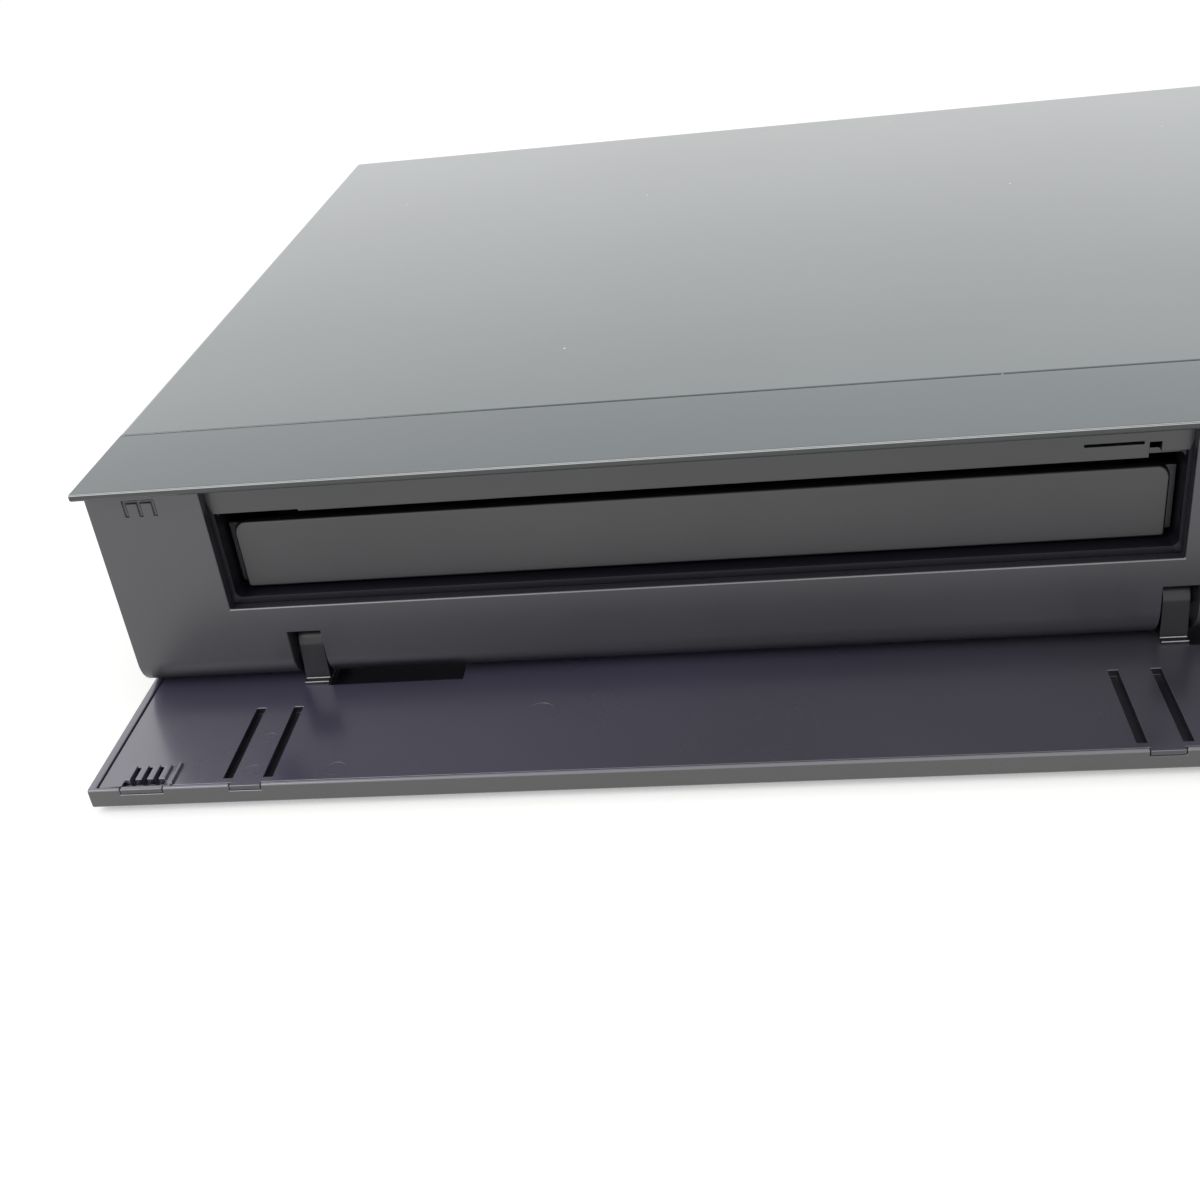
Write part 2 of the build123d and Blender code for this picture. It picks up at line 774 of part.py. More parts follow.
with BuildPart() as door_shell:
    block((-strip_half, strip_half), (door_front_y, door_back_y), (door_under_z, door_inner_z))
    fillet(door_shell.edges().filter_by(Axis.X).group_by(Axis.Y)[-1].group_by(Axis.Z)[0], door_tail_round)
    chamfer(door_shell.edges().filter_by(Axis.X).group_by(Axis.Y)[0], door_chamfer)
    block((-strip_half + door_rim, strip_half - door_rim), (rim_back_y, door_back_y + cutter),
          (liner_base_z, door_inner_z), Mode.SUBTRACT)
    for tongue_x, width in tongues:
        block(around(tongue_x, width + 2 * tongue_gap), (door_front_y - cutter, rim_back_y),
              (tongue_base_z - tongue_gap, door_inner_z), Mode.SUBTRACT)
door_shell.part.label = "door_shell"
export_step(door_shell.part, "parts/door_shell.step")

with BuildPart() as door_liner:
    block((-liner_half, liner_half), (liner_front_y, door_back_y), (liner_base_z, liner_top_z))
    for tongue_x, width in tongues:
        block(around(tongue_x, width), (door_front_y + tongue_gap, liner_front_y),
              (tongue_base_z, liner_top_z))
    groove_y = liner_front_y + groove_setin
    for groove_x in groove_places:
        for side in (-1, 1):
            block(around(groove_x + side * groove_span / 2, groove_width),
                  (groove_y, groove_y + groove_length), (liner_top_z - groove_depth, liner_top_z),
                  Mode.SUBTRACT)
    for arm_x in arm_places:
        pocket_x = arm_x + arm_width / 2
        block((pocket_x, pocket_x + arm_pocket[0]), (hinge_y - arm_pocket[1], door_back_y),
              (liner_top_z - arm_pocket[2], liner_top_z), Mode.SUBTRACT)
    catch_y = (liner_front_y + tongue_gap, liner_front_y + catch_length)
    block(around(comb_x, catch_width), catch_y, (liner_top_z - catch_depth, liner_top_z), Mode.SUBTRACT)
    tooth_pitch = (catch_width - catch_tooth) / (catch_teeth - 1)
    for step in range(catch_teeth):
        tooth_x = comb_x - catch_width / 2 + catch_tooth / 2 + step * tooth_pitch
        block(around(tooth_x, catch_tooth), (catch_y[0] + catch_tooth, catch_y[1]),
              (liner_top_z - catch_depth, liner_top_z + catch_height))
    rib_x = comb_x + catch_width / 2 + catch_rib[0]
    block(around(rib_x, catch_rib[1]), (liner_front_y, liner_front_y + catch_rib[2]),
          (liner_top_z, liner_top_z + catch_height))
door_liner.part.label = "door_liner"
export_step(door_liner.part, "parts/door_liner.step")


def eye_tangent(foot_y, foot_z, side):
    """Where a line from the arm's foot touches its eye, on the eye's front (-1) or back (1)."""
    angle = atan2(foot_z, foot_y) + side * acos(arm_eye_radius / hypot(foot_y, foot_z))
    return hinge_y + arm_eye_radius * cos(angle), hinge_z + arm_eye_radius * sin(angle)


with BuildPart() as door_arms:
    toe_z = liner_top_z + arm_toe_height
    shin_touch = eye_tangent(-arm_shin, toe_z - hinge_z, -1)
    heel_touch = eye_tangent(arm_heel, liner_top_z - hinge_z, 1)
    for arm_x in arm_places:
        with BuildSketch(Plane.YZ.offset(arm_x - arm_width / 2)):
            with BuildLine():
                Polyline(shin_touch, (hinge_y - arm_shin, toe_z), (hinge_y - arm_toe, toe_z),
                         (hinge_y - arm_toe, liner_top_z), (hinge_y + arm_heel, liner_top_z), heel_touch)
                ThreePointArc(heel_touch, (hinge_y, hinge_z + arm_eye_radius), shin_touch)
            make_face()
        extrude(amount=arm_width)
        axle(around(arm_x, arm_slot + 2 * (cheek_wall - trunnion_end_gap)), hinge_y, hinge_z, trunnion_radius)
door_arms.part.label = "door_arms"
export_step(door_arms.part, "parts/door_arms.step")


# Buttons on the strip, each with its stem over a switch on the button board
button_board_top = button_board_z + board_thickness
switch_top_z = button_board_top + switch_size[2]
stem_base_z = switch_top_z + button_travel + fit_gap
button_cap_z = top_z - button_cap

with BuildPart() as button_board:
    block(button_board_x, (surround_y + sheet, panel_back_y - button_board_back_gap),
          (button_board_z, button_board_top))
    for button_x in button_places.values():
        block(around(button_x, switch_size[0]), around(button_y, switch_size[0]),
              (button_board_top, button_board_top + switch_size[1]))
        post(button_x, button_y, (button_board_top, switch_top_z), button_stem_radius)
button_board.part.label = "button_board"
export_step(button_board.part, "parts/button_board.step")

for button_name, button_x in button_places.items():
    with BuildPart() as button:
        with BuildSketch(Plane.XY.offset(button_cap_z)):
            with Locations((button_x, button_y)):
                SlotOverall(*button_size)
        extrude(amount=button_cap)
        fillet(button.edges().group_by(Axis.Z)[-1], button_gap)
        with BuildSketch(Plane.XY.offset(button_cap_z)):
            with Locations((button_x, button_y)):
                SlotOverall(button_size[0] + 2 * button_flange, button_size[1] + 2 * button_flange)
        extrude(amount=button_flange)
        post(button_x, button_y, (stem_base_z, button_cap_z), button_stem_radius)
    button.part.label = button_name
    export_step(button.part, f"parts/{button_name}.step")


# Behind the right half of the panel: display, control board, card reader and front socket
display_board_y = face_y + display_board_gap
window_middle_x, window_middle_z = sum(window_x) / 2, sum(window_z) / 2

with BuildPart() as display_window:
    with BuildSketch(Plane.XZ.offset(-face_y)):
        with Locations((window_middle_x, window_middle_z)):
            RectangleRounded(window_x[1] - window_x[0] - 2 * lens_gap,
                             window_z[1] - window_z[0] - 2 * lens_gap, window_round - lens_gap)
    extrude(amount=-panel_wall)
    block(widened(window_x, lens_skirt[0]), (face_y + panel_wall, face_y + panel_wall + lens_skirt[1]),
          widened(window_z, lens_skirt[0]))
display_window.part.label = "display_window"
export_step(display_window.part, "parts/display_window.step")

with BuildPart() as display_module:
    block((window_x[0] + display_margin[0], window_x[1] - display_margin[1]),
          (face_y + panel_wall + lens_skirt[1], display_board_y), widened(window_z, -display_margin[2]))
display_module.part.label = "display_module"
export_step(display_module.part, "parts/display_module.step")

with BuildPart() as front_board:
    block((window_x[0] - front_board_margin[0], window_x[1] + front_board_margin[1]),
          (display_board_y, display_board_y + board_thickness),
          (floor_z + front_board_lift, window_z[1] + front_board_margin[2]))
    cable_x = window_x[1] - display_cable[2]
    block((cable_x, cable_x + display_cable[0]), (display_board_y - display_cable[1], display_board_y),
          around(window_middle_z, display_cable[0]))
front_board.part.label = "front_board"
export_step(front_board.part, "parts/front_board.step")

with BuildPart() as io_board:
    block(io_board_x, behind(io_board_setback, io_board_setback + io_board_length),
          (io_board_z, io_board_top_z))
io_board.part.label = "io_board"
export_step(io_board.part, "parts/io_board.step")

with BuildPart() as card_reader:
    reader_y = lip_y + io_board_setback
    block(around(card_x, reader_size[0]), (reader_y, reader_y + reader_size[1]),
          (io_board_top_z, io_board_top_z + reader_size[2]))
    block(around(card_x, reader_slot[0]), (reader_y, reader_y + reader_slot[1]),
          around(card_z, reader_slot[2]), Mode.SUBTRACT)
card_reader.part.label = "card_reader"
export_step(card_reader.part, "parts/card_reader.step")


def usb_shell(x, z, size, y, facing):
    """A socket's metal box with its tongue, open towards one end of Y."""
    mouth = [side - 2 * usb_wall for side in size]
    if facing < 0:
        hollow = (y[0], y[1] - usb_back_wall)
        tongue = (y[0] + socket_tongue_inset, hollow[1])
    else:
        hollow = (y[0] + usb_back_wall, y[1])
        tongue = (hollow[0], y[1] - socket_tongue_inset)
    block(around(x, size[0]), y, around(z, size[1]))
    block(around(x, mouth[0]), hollow, around(z, mouth[1]), Mode.SUBTRACT)
    block(around(x, mouth[0] - 2 * socket_tongue_inset), tongue, around(z + usb_tongue[1], usb_tongue[0]))


with BuildPart() as front_usb_socket:
    shell_size = [side - 2 * fit_gap for side in usb_mouth]
    usb_shell(usb_x, usb_z, shell_size, (face_y + socket_proud, lip_y + front_usb_end), -1)
    block(widened(around(usb_x, shell_size[0]), -usb_wall), behind(io_board_setback, front_usb_end),
          (io_board_top_z, usb_z - shell_size[1] / 2))
front_usb_socket.part.label = "front_usb_socket"
export_step(front_usb_socket.part, "parts/front_usb_socket.step")


# Drive frame: an open plastic tub with rails that the tray slides on
frame_sides = around(drive_x, 2 * frame_inner)
frame_ends = (frame_y + frame_end_wall, frame_back_y - frame_end_wall)
ledge_top_z = tray_under_z - fit_gap

with BuildPart() as drive_frame:
    block(around(drive_x, 2 * frame_outer), (frame_y, frame_back_y), (frame_base_z, frame_top_z))
    fillet(drive_frame.edges().filter_by(Axis.Z).group_by(Axis.Y)[-1], frame_round)
    block(frame_sides, frame_ends, (frame_floor_z, frame_top_z), Mode.SUBTRACT)
    block(frame_sides, (frame_y - cutter, frame_ends[0]), (plate_base_z, frame_top_z), Mode.SUBTRACT)
    block(around(drive_x, 2 * tub_opening_half), behind(*tub_opening), (frame_base_z, frame_floor_z),
          Mode.SUBTRACT)
    for side in (-1, 1):
        ledge = sorted((drive_x + side * frame_inner, drive_x + side * (frame_inner - ledge_width)))
        block(ledge, frame_ends, (ledge_top_z - ledge_height, ledge_top_z))
        tab = sorted((drive_x + side * frame_inner, drive_x + side * (frame_inner - guide_tab_size[0])))
        for tab_setback in guide_tabs:
            block(tab, behind(tab_setback, tab_setback + guide_tab_size[1]),
                  (tray_top_z + fit_gap, frame_top_z))
    post(gear_x, gear_y, (frame_floor_z, pulley_z - fit_gap), gear_seat_radius)
    post(gear_x, gear_y, (pulley_z - fit_gap, tray_under_z - gear_post_gap), gear_post_radius)
drive_frame.part.label = "drive_frame"
export_step(drive_frame.part, "parts/drive_frame.step")


# Disc tray: recesses for both disc sizes, a slot for the spindle and a rack underneath
rack_pitch = pi * gear_module
rack_base_z = tray_under_z - rack_height
rack_root_x = rack_pitch_x - gear_module - gear_clearance
rack_ends = [tray_front_y + place for place in rack_ends_behind_plate]


def rack_tooth_outline(centre):
    """Four corners of one straight-sided rack tooth that points to +X, about a place along Y."""
    slope = tan(radians(pressure_angle))
    tip_x = rack_pitch_x + gear_module
    half = (rack_pitch - 2 * backlash) / 4
    root = half + (rack_pitch_x - rack_root_x) * slope
    tip = half - (tip_x - rack_pitch_x) * slope
    Polyline((rack_root_x, centre - root), (tip_x, centre - tip), (tip_x, centre + tip),
             (rack_root_x, centre + root), close=True)


with BuildPart() as tray:
    disc_floor_z = tray_top_z - disc_recess
    small_floor_z = disc_floor_z - small_disc_recess
    block(around(drive_x, tray_width), (tray_front_y, tray_front_y + tray_length), (tray_under_z, tray_top_z))
    fillet(tray.edges().filter_by(Axis.Z).group_by(Axis.Y)[-1], tray_corner)
    post(drive_x, disc_y, (disc_floor_z, tray_top_z), disc_radius + disc_slack, Mode.SUBTRACT)
    post(drive_x, disc_y, (small_floor_z, tray_top_z), small_disc_radius + disc_slack, Mode.SUBTRACT)
    with BuildSketch(Plane.XY.offset(tray_under_z)):
        with Locations((drive_x, disc_y)):
            Circle(spindle_hole)
        with Locations((drive_x, disc_y + pickup_slot[1] / 2)):
            RectangleRounded(*pickup_slot, pickup_slot_round)
    extrude(amount=tray_height, mode=Mode.SUBTRACT)
    for side in (-1, 1):
        for end in (-1, 1):
            post(drive_x + side * finger_place, disc_y + end * finger_place, (small_floor_z, tray_top_z),
                 finger_radius, Mode.SUBTRACT)
    block((rack_root_x - rack_width, rack_root_x), rack_ends, (rack_base_z, tray_under_z))
    rack_teeth = range(-int(gear_teeth / 2), int(tray_length / rack_pitch))
    rack_places = [gear_y + (step + 0.5) * rack_pitch for step in rack_teeth]
    with BuildSketch(Plane.XY.offset(rack_base_z)):
        for rack_place in rack_places:
            if rack_ends[0] + rack_end_land < rack_place < rack_ends[1] - rack_end_land:
                with BuildLine():
                    rack_tooth_outline(rack_place)
                make_face()
    extrude(amount=rack_height)
tray.part.label = "tray"
export_step(tray.part, "parts/tray.step")

with BuildPart() as tray_plate:
    plate_top_z = plate_base_z + plate_height
    with BuildSketch(Plane.XZ.offset(-lip_y - plate_setback)):
        with Locations((drive_x, (plate_base_z + plate_top_z) / 2)):
            Rectangle(plate_width, plate_height)
    extrude(amount=-plate_face)
    fillet(tray_plate.edges().filter_by(Axis.Y).group_by(Axis.Z)[-1], plate_round)
    fillet(tray_plate.edges().filter_by(Axis.Y).group_by(Axis.Z)[0], plate_foot_round)
    chamfer(tray_plate.faces().sort_by(Axis.Y)[0].edges(), plate_chamfer)
    block(widened(around(drive_x, plate_width), plate_flange),
          behind(plate_setback + plate_face, plate_setback + plate_thickness),
          widened((plate_base_z, plate_top_z), -plate_flange_inset))
tray_plate.part.label = "tray_plate"
export_step(tray_plate.part, "parts/tray_plate.step")


# Loading gear: an involute pinion over a belt pulley, turned by the motor's small pulley
def involute_gear_outline(centre, teeth):
    """Closed outline of a spur gear with involute flanks, thinned by the backlash."""
    pitch_radius = gear_module * teeth / 2
    base_radius = pitch_radius * cos(radians(pressure_angle))
    root_radius = pitch_radius - gear_module - gear_clearance
    tip_radius = pitch_radius + gear_module
    flank_start = max(base_radius, root_radius)
    roll = tan(radians(pressure_angle)) - radians(pressure_angle)
    half_tooth = (pi / 2 - backlash / gear_module) / teeth + roll
    flank = [(root_radius, half_tooth)]
    for step in range(flank_steps + 1):
        radius = flank_start + (tip_radius - flank_start) * step / flank_steps
        slope = acos(base_radius / radius)
        flank.append((radius, half_tooth - (tan(slope) - slope)))
    both = [(radius, -angle) for radius, angle in flank] + flank[::-1]
    points = [
        (centre[0] + radius * cos(angle + 2 * pi * tooth / teeth),
         centre[1] + radius * sin(angle + 2 * pi * tooth / teeth))
        for tooth in range(teeth)
        for radius, angle in both
    ]
    Polyline(*points, close=True)


def belt_pulley(x, y, outer, root):
    """A pulley disc with a square groove for the belt half way up its rim."""
    groove = around(pulley_z + pulley_height / 2, belt_size + 2 * fit_gap)
    post(x, y, (pulley_z, groove[0]), outer)
    post(x, y, groove, root)
    post(x, y, (groove[1], pulley_z + pulley_height), outer)


with BuildPart() as loading_gear:
    gear_base_z = rack_base_z + gear_lift
    gear_top_z = gear_base_z + gear_height
    belt_pulley(gear_x, gear_y, pulley_radius, pulley_root)
    post(gear_x, gear_y, (pulley_z, gear_base_z), gear_boss_radius)
    with BuildSketch(Plane.XY.offset(gear_base_z)):
        with BuildLine():
            involute_gear_outline((gear_x, gear_y), gear_teeth)
        make_face()
    extrude(amount=gear_height)
    post(gear_x, gear_y, widened((pulley_z, gear_top_z), cutter), gear_post_radius + running_fit,
         Mode.SUBTRACT)
loading_gear.part.label = "loading_gear"
export_step(loading_gear.part, "parts/loading_gear.step")

motor_top_z = pulley_z - motor_can_gap

with BuildPart() as loading_motor:
    post(motor_x, gear_y, (frame_floor_z, motor_top_z), motor_can_radius)
    fillet(loading_motor.edges().group_by(Axis.Z)[-1], motor_can_round)
    post(motor_x, gear_y, (motor_top_z - motor_shaft_length, motor_top_z), motor_shaft + running_fit,
         Mode.SUBTRACT)
loading_motor.part.label = "loading_motor"
export_step(loading_motor.part, "parts/loading_motor.step")

with BuildPart() as motor_pulley:
    belt_pulley(motor_x, gear_y, motor_pulley_radius, motor_pulley_root)
    post(motor_x, gear_y, (pulley_z - motor_shaft_length, pulley_z), motor_shaft)
motor_pulley.part.label = "motor_pulley"
export_step(motor_pulley.part, "parts/motor_pulley.step")


def belt_loop(grow):
    """The belt's closed path round both pulleys, offset outwards by a distance."""
    large, small = pulley_root + fit_gap + grow, motor_pulley_root + fit_gap + grow
    angle = acos((large - small) / belt_reach)
    ends = [
        [(x + radius * cos(angle), gear_y + side * radius * sin(angle)) for side in (-1, 1)]
        for x, radius in ((gear_x, large), (motor_x, small))
    ]
    Line(ends[0][0], ends[1][0])
    ThreePointArc(ends[1][0], (motor_x + small, gear_y), ends[1][1])
    Line(ends[1][1], ends[0][1])
    ThreePointArc(ends[0][1], (gear_x - large, gear_y), ends[0][0])


with BuildPart() as drive_belt:
    with BuildSketch(Plane.XY.offset(pulley_z + (pulley_height - belt_size) / 2)):
        with BuildLine():
            belt_loop(belt_size)
        make_face()
        with BuildLine():
            belt_loop(0)
        make_face(mode=Mode.SUBTRACT)
    extrude(amount=belt_size)
drive_belt.part.label = "drive_belt"
export_step(drive_belt.part, "parts/drive_belt.step")


# Traverse: sheet with the spindle motor, two guide rods, the pickup and its lead screw
traverse_sides = around(drive_x, 2 * traverse_half)
traverse_ends = behind(traverse_setback, traverse_setback + traverse_length)
traverse_sheet_z = (traverse_z, traverse_top_z)
rod_ends = behind(rod_setback, rod_setback + rod_length)
lead_x = drive_x - lead_screw_x
motor_end_y = rod_ends[0] - holder_depth + screw_motor_end

with BuildPart() as traverse:
    block(traverse_sides, traverse_ends, traverse_sheet_z)
    fillet(traverse.edges().filter_by(Axis.Z), traverse_round)
    block(around(drive_x, 2 * (rod_x + rod_window)), (rod_ends[0] + screw_motor_end, rod_ends[1]),
          traverse_sheet_z, Mode.SUBTRACT)
    for side in (-1, 1):
        for seat in ((rod_ends[0] - holder_depth, rod_ends[0]), (rod_ends[1], rod_ends[1] + holder_depth)):
            block(around(drive_x + side * rod_x, 2 * holder_half), seat,
                  (traverse_top_z, rod_z + holder_half))
    block(around(lead_x, screw_block[0]), around(rod_ends[1], screw_block[1]),
          (traverse_top_z, lead_screw_z + screw_block[0] / 2))
    rod(lead_x, around(rod_ends[1], 2 * screw_block[1]), lead_screw_z, lead_screw_radius + running_fit,
        Mode.SUBTRACT)
traverse.part.label = "traverse"
export_step(traverse.part, "parts/traverse.step")

with BuildPart() as traverse_dampers:
    for side in (-1, 1):
        for damper_y in widened(traverse_ends, -damper_inset):
            post(drive_x + side * damper_x, damper_y, (frame_floor_z, traverse_z), damper_radius)
traverse_dampers.part.label = "traverse_dampers"
export_step(traverse_dampers.part, "parts/traverse_dampers.step")

with BuildPart() as guide_rods:
    for side in (-1, 1):
        rod(drive_x + side * rod_x, rod_ends, rod_z, rod_radius)
guide_rods.part.label = "guide_rods"
export_step(guide_rods.part, "parts/guide_rods.step")

with BuildPart() as spindle_motor:
    spindle_seat_z = traverse_top_z + spindle_base[1]
    post(drive_x, disc_y, (traverse_top_z, spindle_seat_z), spindle_base[0])
    post(drive_x, disc_y, (spindle_seat_z, spindle_top_z), spindle_radius)
    fillet(spindle_motor.edges().group_by(Axis.Z)[-1], spindle_round)
    post(drive_x, disc_y, (spindle_top_z - motor_shaft_length, spindle_top_z), motor_shaft + running_fit,
         Mode.SUBTRACT)
spindle_motor.part.label = "spindle_motor"
export_step(spindle_motor.part, "parts/spindle_motor.step")

with BuildPart() as turntable:
    platter_z = spindle_top_z + fit_gap
    rim_z = platter_z + turntable_rim
    hub_top_z = platter_z + hub_height
    with BuildSketch(Plane.XZ.offset(-disc_y)):
        with BuildLine():
            Polyline(
                (drive_x, platter_z), (drive_x + turntable_radius, platter_z),
                (drive_x + turntable_radius, rim_z), (drive_x + hub_radius, rim_z),
                (drive_x + hub_radius, hub_top_z - hub_cone[1]),
                (drive_x + hub_radius - hub_cone[0], hub_top_z), (drive_x, hub_top_z), close=True,
            )
        make_face()
    revolve(axis=Axis((drive_x, disc_y, 0), (0, 0, 1)))
    post(drive_x, disc_y, (platter_z - motor_shaft_length + fit_gap, platter_z), motor_shaft)
turntable.part.label = "turntable"
export_step(turntable.part, "parts/turntable.step")

with BuildPart() as pickup:
    pickup_y = behind(pickup_setback, pickup_setback + pickup_length)
    cap_z = pickup_z[1] - pickup_cap[1]
    block(around(drive_x, 2 * pickup_half), pickup_y, (pickup_z[0], cap_z))
    block(around(drive_x, 2 * pickup_cap[0]), pickup_y, (cap_z, pickup_z[1]))
    fillet(pickup.edges().filter_by(Axis.Z), pickup_round)
    block((lead_x + lead_screw_radius + fit_gap, drive_x - rod_x),
          around(pickup_y[0] + pickup_nut[0], pickup_nut[1]), around(lead_screw_z, pickup_nut[2]))
    for side in (-1, 1):
        rod(drive_x + side * rod_x, widened(pickup_y, cutter), rod_z, rod_radius + running_fit, Mode.SUBTRACT)
pickup.part.label = "pickup"
export_step(pickup.part, "parts/pickup.step")

with BuildPart() as pickup_lens:
    lens_y = pickup_y[0] + lens_from_front
    post(drive_x, lens_y, (pickup_z[1], pickup_z[1] + lens_step), lens_radius + lens_collar)
    post(drive_x, lens_y, (pickup_z[1] + lens_step, pickup_z[1] + 2 * lens_step), lens_radius)
pickup_lens.part.label = "pickup_lens"
export_step(pickup_lens.part, "parts/pickup_lens.step")

with BuildPart() as lead_screw:
    rod(lead_x, (motor_end_y + fit_gap, rod_ends[1] + screw_block[1] / 2), lead_screw_z, lead_screw_radius)
lead_screw.part.label = "lead_screw"
export_step(lead_screw.part, "parts/lead_screw.step")

with BuildPart() as sled_motor:
    rod(lead_x, (lip_y + screw_motor_setback, motor_end_y), lead_screw_z, lead_screw_z - traverse_top_z)
sled_motor.part.label = "sled_motor"
export_step(sled_motor.part, "parts/sled_motor.step")

with BuildPart() as drive_board:
    drive_board_top = frame_floor_z + board_thickness
    block(around(drive_x, 2 * drive_board_half), (lip_y + drive_board_setback, frame_ends[1] - fit_gap),
          (frame_floor_z, drive_board_top))
    component(drive_board_top, drive_x + drive_chip[0], *drive_chip[1:])
drive_board.part.label = "drive_board"
export_step(drive_board.part, "parts/drive_board.step")


# Clamp bridge over the tray, with the magnetic clamper that hangs in its hole
bridge_top_z = bridge_z + sheet

with BuildPart() as clamp_bridge:
    bridge_half = frame_outer - bridge_inset
    with BuildSketch(Plane.XZ.offset(-lip_y - bridge_setback)):
        with BuildLine():
            Polyline(
                (drive_x - bridge_half, frame_top_z), (drive_x - bridge_half, bridge_top_z),
                (drive_x + bridge_half, bridge_top_z), (drive_x + bridge_half, frame_top_z),
                (drive_x + bridge_half - sheet, frame_top_z), (drive_x + bridge_half - sheet, bridge_z),
                (drive_x - bridge_half + sheet, bridge_z), (drive_x - bridge_half + sheet, frame_top_z),
                close=True,
            )
        make_face()
    extrude(amount=-bridge_length)
    post(drive_x, disc_y, widened((bridge_z, bridge_top_z), cutter), clamp_neck + clamp_slack, Mode.SUBTRACT)
clamp_bridge.part.label = "clamp_bridge"
export_step(clamp_bridge.part, "parts/clamp_bridge.step")

with BuildPart() as clamper:
    clamper_z = tray_top_z + clamp_lift
    flange_base_z = bridge_top_z + fit_gap
    post(drive_x, disc_y, (clamper_z, clamper_z + clamp_rims[0]), clamp_rim)
    post(drive_x, disc_y, (clamper_z + clamp_rims[0], flange_base_z), clamp_neck)
    post(drive_x, disc_y, (flange_base_z, flange_base_z + clamp_rims[1]), clamp_rim)
    post(drive_x, disc_y, (clamper_z, clamper_z + clamp_lift), hub_radius + clamp_recess, Mode.SUBTRACT)
clamper.part.label = "clamper"
export_step(clamper.part, "parts/clamper.step")


# Main board with its sockets along the back
with BuildPart() as main_board:
    block(main_board_x, (lip_y + main_board_setback, back_inner_y - fit_gap), (board_z, board_top_z))
    component(board_top_z, *main_chip)
    for memory_chip in memory_chips:
        component(board_top_z, *memory_chip)
    component(board_top_z, *board_connector)
main_board.part.label = "main_board"
export_step(main_board.part, "parts/main_board.step")

with BuildPart() as heat_sink:
    sink_z = board_top_z + main_chip[4]
    sink_width, sink_length = sink_size[2:4]
    component(sink_z, *sink_size)
    with BuildSketch(Plane.XY.offset(sink_z + sink_size[4])):
        with Locations((sink_size[0], lip_y + sink_size[1])):
            with GridLocations((sink_width - fin_size[0]) / (fin_count - 1), 0, fin_count, 1):
                Rectangle(fin_size[0], sink_length)
    extrude(amount=fin_size[1])
heat_sink.part.label = "heat_sink"
export_step(heat_sink.part, "parts/heat_sink.step")

tuner_back_y = back_inner_y - 2 * fit_gap

with BuildPart() as tuner_can:
    tuner_y = (lip_y + tuner_setback, tuner_back_y)
    tuner_top_z = antenna_z + tuner_rise
    block(tuner_x, tuner_y, (board_top_z, tuner_top_z))
    block(widened(tuner_x, -tuner_lid[0]), widened(tuner_y, -tuner_lid[0]),
          (tuner_top_z - tuner_lid[1], tuner_top_z), Mode.SUBTRACT)
tuner_can.part.label = "tuner_can"
export_step(tuner_can.part, "parts/tuner_can.step")

with BuildPart() as antenna_terminals:
    terminal_end_y = back_face_y + terminal_length
    for x in antenna_places:
        rod(x, (tuner_back_y, back_face_y), antenna_z, terminal_radius + terminal_collar)
        rod(x, (back_face_y, terminal_end_y), antenna_z, terminal_radius)
        rod(x, (terminal_end_y - terminal_bore[1], terminal_end_y), antenna_z, terminal_bore[0],
            Mode.SUBTRACT)
antenna_terminals.part.label = "antenna_terminals"
export_step(antenna_terminals.part, "parts/antenna_terminals.step")

with BuildPart() as lan_socket:
    lan_z = board_top_z + lan_size[1] / 2
    lan_hollow = (socket_y - lan_depth, socket_y)
    block(around(lan_x, lan_size[0]), (socket_y - lan_length, socket_y), around(lan_z, lan_size[1]))
    block(around(lan_x, lan_mouth[0]), lan_hollow, around(lan_z, lan_mouth[1]), Mode.SUBTRACT)
    block(around(lan_x, lan_key[0]), lan_hollow, (lan_z - lan_mouth[1] / 2 - lan_key[1], lan_z),
          Mode.SUBTRACT)
lan_socket.part.label = "lan_socket"
export_step(lan_socket.part, "parts/lan_socket.step")

with BuildPart() as hdmi_socket:
    hdmi_z = board_top_z + hdmi_size[1] / 2
    block(around(hdmi_x, hdmi_size[0]), (socket_y - hdmi_length, socket_y), around(hdmi_z, hdmi_size[1]))
    left, right = around(hdmi_x, hdmi_mouth[0])
    foot, head = around(hdmi_z, hdmi_mouth[1])
    with BuildSketch(Plane.XZ.offset(-socket_y)):
        with BuildLine():
            Polyline((left, head), (left, foot + hdmi_corner[1]), (left + hdmi_corner[0], foot),
                     (right - hdmi_corner[0], foot), (right, foot + hdmi_corner[1]), (right, head),
                     close=True)
        make_face()
    extrude(amount=hdmi_depth, mode=Mode.SUBTRACT)
    block(around(hdmi_x, hdmi_tongue[0]), (socket_y - hdmi_depth, socket_y - socket_tongue_inset),
          around(hdmi_z, hdmi_tongue[1]))
hdmi_socket.part.label = "hdmi_socket"
export_step(hdmi_socket.part, "parts/hdmi_socket.step")

with BuildPart() as rear_usb_socket:
    usb_shell(rear_usb_x, board_top_z + rear_usb_size[1] / 2, rear_usb_size,
              (socket_y - rear_usb_length, socket_y), 1)
rear_usb_socket.part.label = "rear_usb_socket"
export_step(rear_usb_socket.part, "parts/rear_usb_socket.step")


# Power board with its transformer, capacitors, heat sink and the mains inlet
with BuildPart() as power_board:
    block(power_board_x, (lip_y + power_board_setback, back_inner_y - power_board_end_gap),
          (board_z, board_top_z))
    component(board_top_z, *line_filter)
    choke_x, choke_setback, choke_radius, choke_height = choke
    post(choke_x, lip_y + choke_setback, (board_top_z, board_top_z + choke_height), choke_radius)
power_board.part.label = "power_board"
export_step(power_board.part, "parts/power_board.step")

with BuildPart() as transformer:
    bobbin_z = board_top_z + ferrite[2]
    component(board_top_z, *transformer_place, *ferrite)
    component(bobbin_z, *transformer_place, *bobbin)
    component(board_top_z + winding_lift, *transformer_place, *winding)
    component(bobbin_z + bobbin[2], *transformer_place, *ferrite)
transformer.part.label = "transformer"
export_step(transformer.part, "parts/transformer.step")

